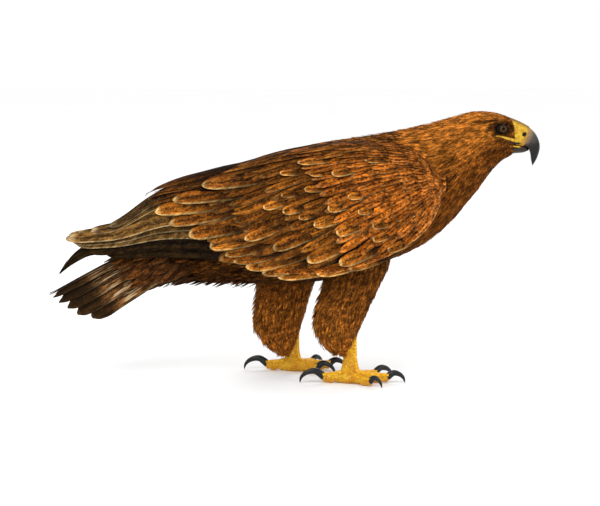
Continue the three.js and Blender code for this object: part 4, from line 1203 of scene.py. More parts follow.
class EAGLE_OT_wings(EagleOperator, bpy.types.Operator):
    """Folded wings: arm, primaries, secondaries, coverts and scapulars"""

    bl_idname = "eagle.wings"
    bl_label = "Wings"

    def build(self, context):
        down = skin_material()
        coverts, shoulder = feather_material("Wing coverts"), feather_material("Shoulder feathers")
        flight = feather_material("Flight feathers")
        for side, sign in SIDES.items():
            points, faces = wing_arm()
            # The arm is painted almost black: painted shade in the gaps between the wing's feathers.
            dark = {"mark": np.tile((0.0, 0.0, 0.95), (len(points), 1))}
            arm = put_mesh(f"wing_arm_{side}", points, faces, down, dark, sign=sign)
            self.coverts(side, sign, coverts, shoulder)
            self.flight(side, sign, flight)
            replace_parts(arm, f"wing_{side}")

    def coverts(self, side, sign, material, shoulder):
        """The tiers, the feathers that stand out from them and the leading edge, as two objects of large and
        small feathers."""
        rng = np.random.default_rng(SEED + 5)
        tiers = [self.tier(i, *row, rng) for i, row in enumerate(WING_TIERS)]
        large = [*tiers[:LARGE_TIERS], self.shown(), self.scapulars()]
        small = [*tiers[LARGE_TIERS:], self.leading_edge(rng)]
        plumage(f"wing_coverts_{side}", material, large, rng, sign)
        plumage(f"wing_shoulder_{side}", shoulder, small, rng, sign)

    def tier(self, i, count, starts, ends, half, slant, pale, rng):
        """One tier, whose shade is fixed where its feathers are large and grows upward where they are
        small."""
        v, root, tip = wing_tier(count, starts, ends, slant, rng)
        is_large = i < LARGE_TIERS
        rows = 14 if i < 4 else 9
        lift = (-2.6, 0.6 + 0.25 * i) if is_large else (-2.2, 2.6)
        half = half * rng.uniform(0.9, 1.1, count)
        roll = rng.uniform(0.7, 1.6, count)
        grids = vanes(
            wing_surface, WING_LAY, root, tip, half, lift, "oval", rows, columns=5, roll=roll, crown=0.8
        )
        uneven = 0.35 * smoothstep(0.7, 0.95, v) + rng.uniform(0, 0.3, count)
        # The large tiers lie under the feathers that stand out, and their fixed shade is painted shade
        # between those.
        shade = 0.5 if is_large else uneven
        marks = (0.2 + 0.08 * i + 0 * v, pale * rng.uniform(0.3, 1.3, count), shade)
        place = np.stack([0.04 + 0.9 * v, 0.05 + 0.9 * root[:, 0]], -1)
        return grids, marks, place, PATCH * 2

    def shown(self):
        """The feathers that stand out from the tiers, with pale rims."""
        tip, root = wing_place(*SHOWN[:, :2].T), wing_place(*SHOWN[:, 2:4].T)
        half, rise, shade = SHOWN[:, 4:].T
        lift = (-1 - 0.45 * rise, rise)
        roll = 1.6 + 0.02 * half
        grids = vanes(
            wing_surface, WING_LAY, root, tip, half, lift, "oval", rows=20, columns=9, roll=roll, crown=1.5,
            thick=0.7, flare=1.2,
        )
        return grids, (0.35, 1, shade), 0.05 + 0.85 * root, PATCH * 6

    def scapulars(self):
        """The shoulder's long feathers: they stand higher and paler towards the front, and low at the upper
        border."""
        tip, root = wing_place(*SCAPULARS[:, :2].T), wing_place(*SCAPULARS[:, 2:4].T)
        rear = len(REAR_SCAPULARS["rise"])
        front = len(tip) - rear
        rise = np.append(np.linspace(7.5, 9.5, front), REAR_SCAPULARS["rise"])
        rise[1:front] = np.minimum(rise, 1.2 + 20 * (1 - tip[:, 1]))[1:front]
        shade = np.append(np.linspace(0.75, 0.25, front), REAR_SCAPULARS["shade"])
        grids = vanes(
            wing_surface, WING_LAY, root, tip, SCAPULARS[:, 4], (-1, rise), "lance", rows=20, columns=7,
            roll=1.2, crown=1.2,
        )
        return grids, (0.25, 0.25, shade), 0.05 + 0.85 * root, PATCH * 6

    def leading_edge(self, rng):
        """Pale narrow feathers that overlap along the wing's front and lower border."""
        front = np.linspace(0.85, 0.1, 4)
        border = np.linspace(0.004, 0.44, 40)
        start = np.concatenate([0 * front, border])
        end = np.concatenate([0 * front + 0.008, border + 0.05])
        root = np.stack([start, np.concatenate([front, 0 * border + 0.035])], -1)
        tip = np.stack([end, np.maximum(np.concatenate([front - 0.24, 0 * border]), -0.01)], -1)
        count = len(root)
        rise = (0.2, np.where(np.arange(count) < len(front), 0.5, 3.0))
        half = rng.uniform(2.8, 3.6, count)
        grids = vanes(
            wing_surface, WING_LAY, root, tip, half, rise, "oval", rows=8, columns=5, roll=0.5, crown=0.8
        )
        marks = (0.8, rng.uniform(0.8, 1.2, count), 0)
        return grids, marks, 0.05 + 0.85 * np.clip(root, 0, 1), PATCH * 2

    def flight(self, side, sign, material):
        """The flight feathers that show, and below them the curved outer one."""
        rng = np.random.default_rng(SEED + 6)
        across, end, tip_across, half, sag, shade = PRIMARIES.T
        count = len(across)
        order = np.arange(count)
        root = np.stack([np.full(count, 0.42), across], -1)
        tip = np.stack([end, tip_across], -1)
        lift = (-3.4, -5 + 0.95 * order)
        grids = vanes(
            wing_surface, WING_LAY, root, tip, half, lift, "paddle", rows=36, columns=9, roll=1.1, crown=0.7,
            bend=-sag, thick=0.7,
        )
        marks = (0, np.where(shade > 0.5, 0, 1.0), shade)
        place = np.stack([0.04 + 0.105 * order, np.full(count, 0.05)], -1)
        batches = [(grids, marks, place, (0.1, 0.4))]
        # The curved outer one is painted near black: painted shadow along the wing's lower edge.
        blade = vanes(
            wing_surface, WING_LAY, [(0.54, 0.1)], [(1, 0)], 9.5, (-3.4, -6.4), "sabre", rows=30, columns=5,
            roll=0.8, crown=0.5, thick=0.8, path=OUTER_PRIMARY,
        )
        batches.append((blade, (0, 0.0, 1.14), np.array([[0.05, 0.5]]), (0.1, 0.4)))
        plumage(f"wing_primaries_{side}", material, batches, rng, sign)


# Tail

TAIL_PAIRS = 6
TAIL_STEP = 14

# Tiers of coverts on the tail: root and tip along it, half width, how far round they go, and the tips'
# height.
TAIL_COVERTS = [(0.2, 0.56, 9, 74, 3), (0.1, 0.46, 10, 80, 4), (0.0, 0.36, 10, 86, 5)]

# The flesh under the tail's root: x, upper and lower line, half width.
VENT = np.array([
    (-150, 262, 160, 36), (-200, 244, 158, 38), (-240, 224, 149, 37), (-275, 205, 146, 30),
    (-305, 188, 158, 16),
], float)
VENT_LAY = ((1.5, 1.5), 1)


def vent_surface(x, turn):
    """The tail's root at x, turn degrees from its upper line: an ellipse between the upper and lower
    lines."""
    top, bottom, half = np.moveaxis(through(VENT[::-1, 0], VENT[::-1, 1:], x), -1, 0)
    angle = np.radians(turn)
    z = (top + bottom) / 2 + (top - bottom) / 2 * np.cos(angle)
    return np.stack([x + 0 * angle, half * np.sin(angle), z], -1)


class EAGLE_OT_tail(EagleOperator, bpy.types.Operator):
    """Twelve tail feathers with coverts above and below"""

    bl_idname = "eagle.tail"
    bl_label = "Tail"

    def build(self, context):
        rng = np.random.default_rng(SEED + 8)
        material = feather_material("Tail feathers", banded=True)
        order = np.repeat(np.arange(TAIL_PAIRS), 2)
        sign = np.tile([1.0, -1.0], TAIL_PAIRS)
        turn = sign * (7 + TAIL_STEP * order)
        reach = 1 - 0.34 * (order / (TAIL_PAIRS - 1)) ** 1.6 + rng.uniform(-0.012, 0.012, len(order))
        top = -1.3 * order - 0.9 * ((sign < 0) & (order == 0))
        root = np.stack([np.full(len(order), 0.1), turn * 0.94], -1)
        tip = np.stack([reach, turn], -1)
        half, lift = 10.8 + 1.3 * order, (-4 + top * 0.6, top)
        grids = vanes(
            tail_surface, TAIL_LAY, root, tip, half, lift, "broad", rows=30, columns=7, roll=0.9 * sign,
            crown=0.7, thick=0.8,
        )
        marks = (0.08 * order, 0.5, 0.3 - 0.04 * order)
        place = np.stack([0.04 + 0.078 * np.arange(len(order)), np.full(len(order), 0.05)], -1)
        batches = [(grids, marks, place, (0.07, 0.5))]
        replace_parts(plumage("tail_feathers", material, batches, rng), "tail")
        x, turn = np.linspace(-302, -152, 26)[:, None], np.linspace(-180, 180, 48, endpoint=False)[None, :]
        point, normal = lay(vent_surface, x, turn, *VENT_LAY)
        points, faces = tube_mesh(point - 2.5 * normal)
        dark = {"mark": np.tile((0.1, 0.3, 0.9), (len(points), 1))}
        put_mesh("tail_root", points, faces, skin_material(), dark)
        self.coverts(rng)

    def coverts(self, rng):
        """Tiers of coverts over the tail's root, and the vent's feathers under it."""
        material = feather_material("Tail coverts")
        batches, count = [], 13
        for i, (low, high, wide, most, lift) in enumerate(TAIL_COVERTS):
            turn = np.linspace(-most, most, count) + rng.uniform(-3, 3, count)
            root = np.stack([low + 0 * turn, turn], -1)
            end = high + rng.uniform(-0.04, 0.04, count) - 0.08 * (np.abs(turn) / 60) ** 2
            tip = np.stack([end, turn], -1)
            grids = vanes(
                tail_surface, TAIL_LAY, root, tip, wide, (-1, lift), "lance", rows=12, columns=5, roll=0.6,
                crown=0.8,
            )
            place = np.stack([0.5 + turn / 260, np.full(count, 0.55 + 0.08 * i)], -1)
            batches.append((grids, (0.3, 0.4, 0.25), place, PATCH * 4))
        batches.append(self.vent(rng))
        plumage("tail_coverts", material, batches, rng)

    def vent(self, rng):
        """Ragged feathers under the tail, from the belly back."""
        count = 150
        x, turn = rng.uniform(-282, -150, count), rng.uniform(95, 265, count)
        root = np.stack([x, turn], -1)
        tip = np.stack([x - rng.uniform(22, 40, count), turn + rng.uniform(-6, 6, count)], -1)
        rise = (-2, rng.uniform(1, 8, count))
        half, roll = rng.uniform(3.5, 5.5, count), rng.uniform(-0.4, 0.4, count)
        grids = vanes(
            vent_surface, VENT_LAY, root, tip, half, rise, "lance", rows=8, columns=3, roll=roll, crown=0.8,
            thick=0.5,
        )
        marks = (0.2, 0.3, rng.uniform(0.3, 0.7, count))
        place = np.stack([0.05 + 0.3 * (x + 290) / 150, 0.55 + 0.3 * turn / 360], -1)
        return grids, marks, place, PATCH


# Eyes


# The lids' opening: half its width, its height above and below the middle, and the rim's thickness. The
# borders of iris and pupil run between two distances from the gaze, and FAR_AWAY marks the globe's back.
LIDS = {"wide": 7.2, "up": 4.4, "down": 5.0, "thick": 1.1}
IRIS_BORDER = (4.8, 5.8)
PUPIL = (3.1, 2.8)
FAR_AWAY = 20


def gaze_frame():
    """The left eye's axes: out along the gaze, forward, and up."""
    out = unit(GAZE)
    ahead = unit(np.cross(out, (0, 0, 1)))
    return out, ahead, np.cross(ahead, out)


class EAGLE_OT_eyes(EagleOperator, bpy.types.Operator):
    """Eyes with cornea, iris and pupil, and the lids round them"""

    bl_idname = "eagle.eyes"
    bl_label = "Eyes"

    def build(self, context):
        p = palette()
        for side, sign in SIDES.items():
            points, faces, marks = self.eyeball()
            eye = put_mesh(f"eye_{side}_globe", points, faces, self.eye_material(p), marks, sign=sign)
            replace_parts(eye, f"eye_{side}")
            lids = put_mesh(f"eyelids_{side}", *self.lids(), self.lid_material(), sign=sign)

    def eyeball(self):
        """A sphere round the gaze, its angle from the gaze running over the rows, with the cornea standing
        out by a cosine bump."""
        out, ahead, up = gaze_frame()
        polar = np.linspace(0.02, np.pi - 0.02, 40)[:, None]
        around = np.linspace(0, 2 * np.pi, 48, endpoint=False)[None, :]
        bulge = EYE_RADIUS * (0.985 + 0.055 * smoothstep(0.85, 0, polar))
        ring = np.cos(around)[..., None] * ahead + np.sin(around)[..., None] * up
        rings = EYE + bulge[..., None] * (np.cos(polar)[..., None] * out + np.sin(polar)[..., None] * ring)
        points, faces = tube_mesh(rings)
        away = np.where(polar < 1.6, EYE_RADIUS * np.sin(polar), FAR_AWAY) + 0 * around
        return points, faces, {"away": np.append(away.ravel(), [0, FAR_AWAY])}

    def lids(self):
        """A rim round the eye's almond opening: a ring whose section rolls from the globe out over the skin.
        The opening is an ellipse flattened at the top."""
        out, ahead, up = gaze_frame()
        rows, columns = 56, 12
        around = np.linspace(0, 2 * np.pi, rows, endpoint=False)[:, None]
        section = np.linspace(0, 2 * np.pi, columns, endpoint=False)[None, :]
        wide = LIDS["wide"] * np.cos(around)
        tall = np.where(np.sin(around) > 0, LIDS["up"], LIDS["down"]) * np.sin(around) - 0.5 * np.cos(around)
        reach = np.hypot(wide, tall) + LIDS["thick"] * (1 + np.cos(section))
        shell = EYE_RADIUS + 0.4 + 0.55 * np.sin(section) + 0 * reach
        depth = np.sqrt(np.maximum(shell**2 - np.minimum(reach, 8.6) ** 2, 1.0))
        depth = depth - 0.5 * np.maximum(0, reach - 8.2)
        angle = np.arctan2(tall, wide)[..., None]
        spoke = ahead * np.cos(angle) + up * np.sin(angle)
        place = EYE + out * depth[..., None] + spoke * reach[..., None]
        faces = grid_faces(rows + 1, columns, closed=True) % (rows * columns)
        triangles = np.vstack([faces[:, [0, 1, 2]], faces[:, [0, 2, 3]]])
        points = place.reshape(-1, 3)
        return points, outward(points - EYE, triangles)

    def eye_material(self, p):
        """Rings by the distance from the gaze: pupil, rayed iris and its dark border."""

        def color(tree):
            away = node(tree, "ShaderNodeAttribute", attribute_name="away").outputs["Fac"]
            ray = noise(tree, objects_place(tree), 1500.0, 2.0)
            iris = blend(tree, span(tree, ray, 0.3, 0.7), [c * 0.55 for c in p["iris"]], p["iris"])
            iris = blend(tree, span(tree, away, *IRIS_BORDER), iris, TINTS["iris_border"])
            return blend(tree, span(tree, away, *PUPIL), iris, TINTS["pupil"])

        return surface_material("Eye", color, 0.06, Specular_IOR_Level=0.1)

    def lid_material(self):
        """Dark bare skin with lighter patches."""

        def color(tree):
            patch = noise(tree, objects_place(tree), 600.0, 3.0)
            return blend(tree, span(tree, patch, 0.35, 0.7), TINTS["lid"], TINTS["lid_light"])

        return surface_material("Lids", color, 0.6, (1800.0, 2.0), 0.0002, Specular_IOR_Level=0.2)


# Bill

# The bill's lines seen from the side, from the brow to the tip: the culmen over it, the cutting edge, and the
# lines of the lower bill.
CULMEN = [
    (350, 431), (366, 424.5), (380.5, 417), (392.5, 407.5), (400, 395), (402.5, 381), (398.5, 365),
    (391.5, 352),
]
TOMIUM = [
    (338, 391), (353, 389), (367, 386), (377.5, 383.5), (384, 379), (387, 371), (388.5, 361),
    (390.5, 352.6),
]
BILL_HALF = 15.5
LOWER_HALF = 12.5
CERE_EDGE = {"point": (382, 403), "normal": (0.94, -0.34)}
LOWER_TOP = [(336, 391), (356, 389.5), (375, 386), (384, 379.5)]
LOWER_BOTTOM = [(336, 366), (356, 371), (375, 373.2), (383.8, 376.6)]
NOSTRIL = np.array([375.5, 11.8, 404])
NOSTRIL_RADII = (3.6, 6, 4.6)
NOSTRIL_DEPTH = 4.2

# Lines along the cheek: the yellow gape, the dark line of the mouth under it, painted shade in the crease
# between the bills, and the yellow edge of the lower bill, each as x and height from the bill back, with the
# thickness in front.
GAPE_LINES = {
    "gape": ([(368, 392), (357, 395), (345, 398.5), (333, 402), (323, 402)], 2.9),
    "mouth_line": ([(370, 388.5), (357, 390.5), (345, 392), (337, 394), (329, 396.5)], 1.5),
    "lower_lip": ([(370, 383), (363, 384), (357, 385), (352, 386), (347, 387)], 1.4),
}


def bill_point(t, angle):
    """The upper bill: t from the brow to the tip along the culmen and the tomium, angle round from the
    culmen. Its half width shrinks to the tip, and the section is widest low down and has a keel along the
    culmen."""
    high, low = spline(CULMEN, t), spline(TOMIUM, t)
    share = 0.5 + 0.5 * np.cos(angle)
    half = BILL_HALF * np.sqrt(np.maximum(0, 1 - t**1.9)) * (1 - 0.38 * t) + 0.3
    flat = low + (high - low) * share[..., None]
    power = 0.4 + 0.46 * smoothstep(-0.75, -0.1, np.cos(angle))
    wide = half * np.sign(np.sin(angle)) * np.abs(np.sin(angle)) ** power * (1.04 - 0.16 * share)
    return np.stack([flat[..., 0], wide, flat[..., 1]], -1)


def forehead_surface(t, turn):
    """The top of the upper bill, with its angle in degrees and a little beyond its start."""
    start = bill_point(np.maximum(t, 0), np.radians(turn))
    return start + np.minimum(t, 0)[..., None] * (110, 0, -46)


def cere_share(angle):
    """The share t at which the cere ends at each angle: where the bill crosses the cere's edge plane."""
    t = np.linspace(0.02, 0.9, 160)[:, None]
    points = bill_point(t, angle[None, :] + 0 * t)
    x0, z0 = CERE_EDGE["point"]
    nx, nz = CERE_EDGE["normal"]
    past = (points[..., 0] - x0) * nx + (points[..., 2] - z0) * nz
    return t[np.argmax(past > 0, axis=0), 0]


class EAGLE_OT_bill(EagleOperator, bpy.types.Operator):
    """Cere with nostrils, hooked upper bill, lower bill and gape"""

    bl_idname = "eagle.bill"
    bl_label = "Bill"

    def build(self, context):
        p = palette()
        yellow, horn = self.cere_material(p), self.horn_material(p)
        angle = np.linspace(0, 2 * np.pi, 72, endpoint=False)
        edge = cere_share(angle)
        share = np.linspace(0, 1, 60)[:, None]
        cere = bill_point(edge[None, :] * share, angle[None, :] + 0 * share)
        out = unit(cere - cere.mean(1, keepdims=True))
        swell = 0.9 * smoothstep(1.0, 0.93, share) + 0.35 * np.exp(-(((share - 0.9) / 0.06) ** 2))
        # The nostril is a dent whose mask also paints it dark: painted shade in the hole.
        slot = (mirrored(cere) - NOSTRIL) @ np.array([(0.8, 0, -0.6), (0, 1, 0), (0.6, 0, 0.8)]).T
        hole = np.exp(-np.sum((slot / NOSTRIL_RADII) ** 2, -1))
        rings = cere + out * (swell - NOSTRIL_DEPTH * hole + 0.8 * np.sqrt(hole) * (1 - hole))[..., None]
        points, faces = tube_mesh(rings)
        marks = np.append((hole * (np.abs(cere[..., 1]) > 2)).ravel(), [0, 0])
        piece = put_mesh("cere_skin", points, faces, yellow, {"hole": marks})
        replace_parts(piece, "cere")
        start = np.maximum(edge - 0.02, 0)[None, :]
        shell = bill_point(start + (0.9995 - start) * share**0.9, angle[None, :] + 0 * share)
        for half, rings in (("upper", shell), ("lower", self.lower_bill())):
            piece = put_mesh(f"bill_horn_{half}", *tube_mesh(rings), horn)
            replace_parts(piece, f"bill_{half}")
        for name, (line, thick) in GAPE_LINES.items():
            points, faces = joined([self.lip(sign, line, thick) for sign in (LEFT, RIGHT)])
            # The mouth line is painted dark all over: painted shade in the crease between the bills.
            hole = np.full(len(points), float(name == "mouth_line"))
            piece = put_mesh(name, points, faces, yellow, {"hole": hole})

    def lower_bill(self):
        """A blade between its upper and lower lines, round across, its half width shrinking to the tip."""
        t = np.linspace(0, 1, 36)[:, None]
        angle = np.linspace(0, 2 * np.pi, 48, endpoint=False)[None, :]
        high, low = spline(LOWER_TOP, t[:, 0]), spline(LOWER_BOTTOM, t[:, 0])
        share = 0.5 + 0.5 * np.cos(angle)
        flat = low[:, None] + (high - low)[:, None] * share[..., None]
        wide = LOWER_HALF * np.sqrt(1 - 0.93 * t**2.4) * np.sin(angle)
        return np.stack([flat[..., 0], wide, flat[..., 1]], -1)

    def lip(self, sign, line, thick):
        """A soft lip along a line on the cheek: a tube that thins out towards the corner of the mouth."""
        t = np.linspace(0, 1, 30)
        line = spline(line, t)
        top, bottom = through(BODY[:, 0], BODY[:, 1:3], line[:, 0]).T
        lean = np.clip((line[:, 1] - (top + bottom) / 2) / ((top - bottom) / 2), -1, 1)
        centre = body_surface(line[:, 0], np.degrees(np.arccos(lean)))
        forward = unit(np.gradient(centre, axis=0))
        side = unit(np.cross(forward, (0, 0, 1)))
        up = np.cross(side, forward)
        angle = np.linspace(0, 2 * np.pi, 14, endpoint=False)[None, :, None]
        start = np.sqrt(np.maximum(0.01, 1 - (1 - np.minimum(1, t / 0.15)) ** 2))
        thick = (thick * start * np.sqrt(np.maximum(0.03, 1 - t**1.6)))[:, None, None]
        section = 0.5 * side[:, None] * np.cos(angle) + up[:, None] * np.sin(angle)
        points, faces = tube_mesh(centre[:, None] + thick * section)
        points = points * (1, sign, 1)
        return points, outward(points - points.mean(0), faces)

    def cere_material(self, p):
        """Yellow skin, mottled with olive, brown on top and in front, and painted dark with shade in the
        nostrils and along the mouth line.
        """

        def color(tree):
            place = objects_place(tree)
            patch = noise(tree, place, 160.0, 3.0)
            skin = blend(tree, span(tree, patch, 0.35, 0.65), TINTS["cere_dull"], p["cere"])
            x, _, z = node(tree, "ShaderNodeSeparateXYZ", {0: place}).outputs
            ahead = calc(tree, "SUBTRACT", x, calc(tree, "MULTIPLY", z, 0.36))
            skin = blend(tree, span(tree, ahead, 0.225, 0.238, 0.0, 0.75), skin, TINTS["cere_front"])
            olive = noise(tree, place, 420.0, 4.0, 0.7)
            skin = blend(tree, span(tree, olive, 0.54, 0.66, 0.0, 0.7), skin, TINTS["cere_olive"])
            skin = blend(tree, span(tree, olive, 0.44, 0.36, 0.0, 0.6), skin, TINTS["cere_light"])
            hole = node(tree, "ShaderNodeAttribute", attribute_name="hole").outputs["Fac"]
            facing = node(tree, "ShaderNodeNewGeometry").outputs["Normal"]
            upward = node(tree, "ShaderNodeSeparateXYZ", {0: facing}).outputs[2]
            skin = blend(tree, span(tree, upward, 0.5, 0.8, 0.0, 0.85), skin, TINTS["cere_top"])
            # Painted shade in the nostrils and along the mouth line.
            return blend(tree, span(tree, hole, 0.25, 0.6), skin, TINTS["painted_hole_shade"])

        return surface_material("Cere", color, 0.5, (900.0, 3.0), 0.0004, Specular_IOR_Level=0.25)

    def horn_material(self, p):
        """Horn that goes from pale brown at the cere over grey to black at the hook."""

        def color(tree):
            place = objects_place(tree)
            x, _, z = node(tree, "ShaderNodeSeparateXYZ", {0: place}).outputs
            level = calc(tree, "SUBTRACT", x, calc(tree, "MULTIPLY", z, 0.6))
            stretched = node(tree, "ShaderNodeMapping", {"Vector": place, "Scale": (0.5, 1, 1.6)}).outputs[0]
            streak = noise(tree, stretched, 500.0, 4.0, 0.7)
            wave = calc(tree, "MULTIPLY_ADD", calc(tree, "SUBTRACT", streak, 0.5), 0.02, level)
            pale = blend(tree, span(tree, streak, 0.35, 0.7), TINTS["horn_brown"], TINTS["horn_pale"])
            black, grey = [c * 0.12 for c in p["horn"]], [c * 0.5 for c in p["horn"]]
            middle = blend(tree, span(tree, streak, 0.4, 0.65), black, grey)
            horn = blend(tree, span(tree, wave, 0.14, 0.154), pale, middle)
            horn = blend(tree, span(tree, z, 0.392, 0.384, 0.0, 0.92), horn, TINTS["horn_under"])
            return blend(tree, span(tree, wave, 0.156, 0.168), horn, p["talon"])

        gloss = {"Coat_Weight": 0.25, "Coat_Roughness": 0.08, "Specular_IOR_Level": 0.15}
        return surface_material("Horn", color, 0.3, (350.0, 3.0), 0.0003, **gloss)


# Feet


def talon_rings(foot, toe):
    """A talon that leaves the toe rising, arches over and comes down to the floor: a tube that tapers with
    (1 - t)^0.75 along a curve, narrower across than high."""
    turn, length, radius, reach = TOES[toe]
    ahead = np.array([math.cos(math.radians(turn)), math.sin(math.radians(turn)), 0])
    start = np.array([foot["x"] - TOES_BACK, FOOT_SPREAD, 0]) + ahead * (length - TALON_INSET)
    high = radius + 0.2 * reach
    heights = [(0, radius + 1), (0.3, high + 1), (0.6, high - 1), (0.8, high * 0.55), (0.86, 1.1)]
    path = np.array([start + ahead * reach * share + (0, 0, z) for share, z in heights])
    t = np.linspace(0, 1, 34)
    centre = spline(path, t)
    forward = unit(np.gradient(centre, axis=0))
    side = np.array([-ahead[1], ahead[0], 0])
    up = np.cross(forward, side)
    angle = np.linspace(0, 2 * np.pi, 22, endpoint=False)[None, :, None]
    thick = (radius * 0.66 * (1 - t) ** 0.72 + 0.3)[:, None, None]
    rings = centre[:, None] + side * thick * 0.84 * np.cos(angle) + up[:, None] * thick * np.sin(angle)
    rings[..., 2] = np.maximum(rings[..., 2], 0)
    return rings


def scutes(surface, start, end, count, half_turn, rise):
    """Overlapping plates along a surface, each from its place a little past the next one's, raised towards
    its free edge and round at its sides."""
    rows, columns = 4, 9
    s, t = np.linspace(0, 1, rows), np.linspace(-1, 1, columns)
    step = (end - start) / count
    first = start + step * np.arange(count)[:, None, None]
    a = first + step * 1.22 * s[:, None] * (1 - 0.12 * t**2)
    b = half_turn * t[None, None, :] * (0.9 + 0.1 * np.sin(np.pi * s))[None, :, None] + 0 * a
    point, normal = lay(surface, a, b, (0.01, 3), 1)
    centre = surface(a, b + 180)
    normal = normal * np.sign(np.sum(normal * (point - centre), -1, keepdims=True))
    edge = np.minimum(1, (1 - np.abs(t)) * 4)
    height = -0.5 + (rise + 0.5) * (0.35 + 0.65 * s[:, None]) * edge[None, :]
    top = (point + normal * height[None, ..., None]).reshape(count, -1, 3)
    faces, inner = vane_faces(rows, columns)
    under = top[:, inner] - normal.reshape(count, -1, 3)[:, inner] * 0.8
    points = np.concatenate([top, under], 1)
    size = points.shape[1]
    all_faces = (faces[None] + np.arange(count)[:, None, None] * size).reshape(-1, 4)
    return points.reshape(-1, 3), all_faces


# Rows of plates: one for each SCUTE_STEP of a toe, and how far round they go in degrees.
SCUTE_STEP = 4.2
TOE_SCUTES = {"start": 0.2, "end": 0.98, "half_turn": 62, "rise": 0.8}
SHANK_SCUTES = {"start": 0.05, "end": 0.95, "count": 14, "half_turn": 58, "rise": 0.7}
FOOT_VOXEL = 1.1


class EAGLE_OT_feet(EagleOperator, bpy.types.Operator):
    """Bare shanks, palms and toes with scutes, and talons"""

    bl_idname = "eagle.feet"
    bl_label = "Feet"

    def build(self, context):
        p = palette()
        scales, plates, talon = self.scale_material(p), self.scute_material(p), self.talon_material(p)
        for side, foot in FEET.items():
            skin = merge_solids(f"foot_skin_{side}", self.solids(foot), scales)
            remesh = skin.modifiers.new("even", "REMESH")
            remesh.mode = "VOXEL"
            remesh.voxel_size = FOOT_VOXEL * MM
            ease = skin.modifiers.new("ease", "SMOOTH")
            ease.iterations = 4
            apply_modifiers(skin)
            skin.data.shade_smooth()
            flatten_foot(skin)
            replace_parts(skin, f"shank_{side}", f"foot_{side}", *[f"toe_{side}_{toe}" for toe in TOES])
            counts = {toe: int(length / SCUTE_STEP) for toe, (_, length, _, _) in TOES.items()}
            rows = [scutes(toe_surface(foot, toe), count=counts[toe], **TOE_SCUTES) for toe in TOES]
            rows.append(scutes(shank_surface(foot), **SHANK_SCUTES))
            points, faces = joined(rows)
            band = put_mesh(f"scutes_{side}", points, faces, plates, sign=foot["sign"])
            for toe in TOES:
                points, faces = tube_mesh(talon_rings(foot, toe))
                claw = put_mesh(f"claw_{side}_{toe}", points, faces, talon, sign=foot["sign"])
                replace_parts(claw, f"talon_{side}_{toe}")

    def solids(self, foot):
        """The shank, palm and toes as closed tubes that run into one another."""
        parts = []
        t, turn = np.linspace(0, 1, 40)[:, None], np.linspace(0, 360, 40, endpoint=False)[None, :]
        for toe in TOES:
            end = np.sqrt(np.maximum(0.02, 1 - np.clip((t - 0.86) / 0.14, 0, 1) ** 2))
            ring = toe_surface(foot, toe)(t + 0 * turn, turn + 0 * t)
            middle = ring.mean(1, keepdims=True)
            parts.append(tube_mesh(middle + (ring - middle) * end[..., None]))
        parts.append(tube_mesh(shank_surface(foot)(t + 0 * turn, turn + 0 * t)))
        polar = np.linspace(0.05, np.pi - 0.05, 24)[:, None]
        around = np.radians(turn)
        disc = np.sin(polar)
        ball = np.stack([disc * np.cos(around), disc * np.sin(around), np.cos(polar) + 0 * around], -1)
        parts.append(tube_mesh(ball * PALM["radii"] + PALM["centre"] + (foot["x"], FOOT_SPREAD, 0)))
        flipped = [(points * (1, foot["sign"], 1), faces) for points, faces in parts]
        return [(points, outward(points - points.mean(0), faces)) for points, faces in flipped]

    def scale_material(self, p):
        """Orange yellow skin in small cells, mottled with brown, and with light yellow spots painted as
        highlights.
        """

        def cells(tree):
            place = objects_place(tree)
            cell = {"Vector": place, "Scale": 520.0}
            edge = node(tree, "ShaderNodeTexVoronoi", cell, feature="DISTANCE_TO_EDGE").outputs[0]
            return span(tree, edge, 0.0, 0.2)

        def color(tree):
            patch = noise(tree, objects_place(tree), 70.0, 3.0)
            skin = blend(tree, span(tree, patch, 0.35, 0.65), TINTS["scale_dull"], p["toes"])
            spot = noise(tree, objects_place(tree), 260.0, 4.0, 0.75)
            skin = blend(tree, span(tree, spot, 0.54, 0.66, 0.0, 0.75), skin, TINTS["scale_brown"])
            # Light yellow spots: painted highlights on the skin.
            skin = blend(tree, span(tree, spot, 0.48, 0.36, 0.0, 0.9), skin, TINTS["scale_painted_highlight"])
            return blend(tree, cells(tree), TINTS["scale_seam"], skin)

        return surface_material("Foot scales", color, 0.55, cells, 0.0005, Specular_IOR_Level=0.25)

    def scute_material(self, p):
        """The toes' plates, in patches of dull yellow and of light yellow painted as highlights."""

        def color(tree):
            patch = noise(tree, objects_place(tree), 240.0, 4.0, 0.7)
            plate = blend(tree, span(tree, patch, 0.35, 0.6), TINTS["scute_dull"], p["toes"])
            # Light yellow patches: painted highlights on the plates.
            return blend(tree, span(tree, patch, 0.54, 0.68, 0.0, 0.9), plate, TINTS["scale_painted_highlight"])

        return surface_material("Scutes", color, 0.5, (900.0, 2.0), 0.0003, Specular_IOR_Level=0.25)

    def talon_material(self, p):
        """Polished black with faint grey streaks."""

        def color(tree):
            streak = noise(tree, objects_place(tree), 300.0, 3.0)
            return blend(tree, span(tree, streak, 0.5, 0.75, 0, 0.4), p["talon"], TINTS["talon_streak"])

        gloss = {"Coat_Weight": 0.3, "Coat_Roughness": 0.08, "Specular_IOR_Level": 0.2}
        return surface_material("Talons", color, 0.3, (500.0, 2.0), 0.0001, **gloss)


def flatten_foot(obj):
    """Keeps a foot's points above the floor."""
    place = np.empty(len(obj.data.vertices) * 3, np.float32)
    obj.data.vertices.foreach_get("co", place)
    place[2::3] = np.maximum(place[2::3], 0.0)
    obj.data.vertices.foreach_set("co", place)
    obj.data.update()


# Stage

FLOOR_HALF = 9
FLOOR_MOTTLE = 0.97
VIEW_CENTRE = Vector((0.010, 0, 0.207))
VIEW_WIDTH = 0.990
VIEW_ELEVATION = 8.0
SENSOR = 36.0

# Lights: place and size in metres, and share of the key light's power.
LIGHTS = {
    "key": ((-1.2, -2.2, 2.6), 1.8, 1),
    "fill": ((2.4, -1.6, 1.4), 2.2, 0.35),
    "back": ((0.4, 2.4, 2.2), 1.6, 0.5),
}


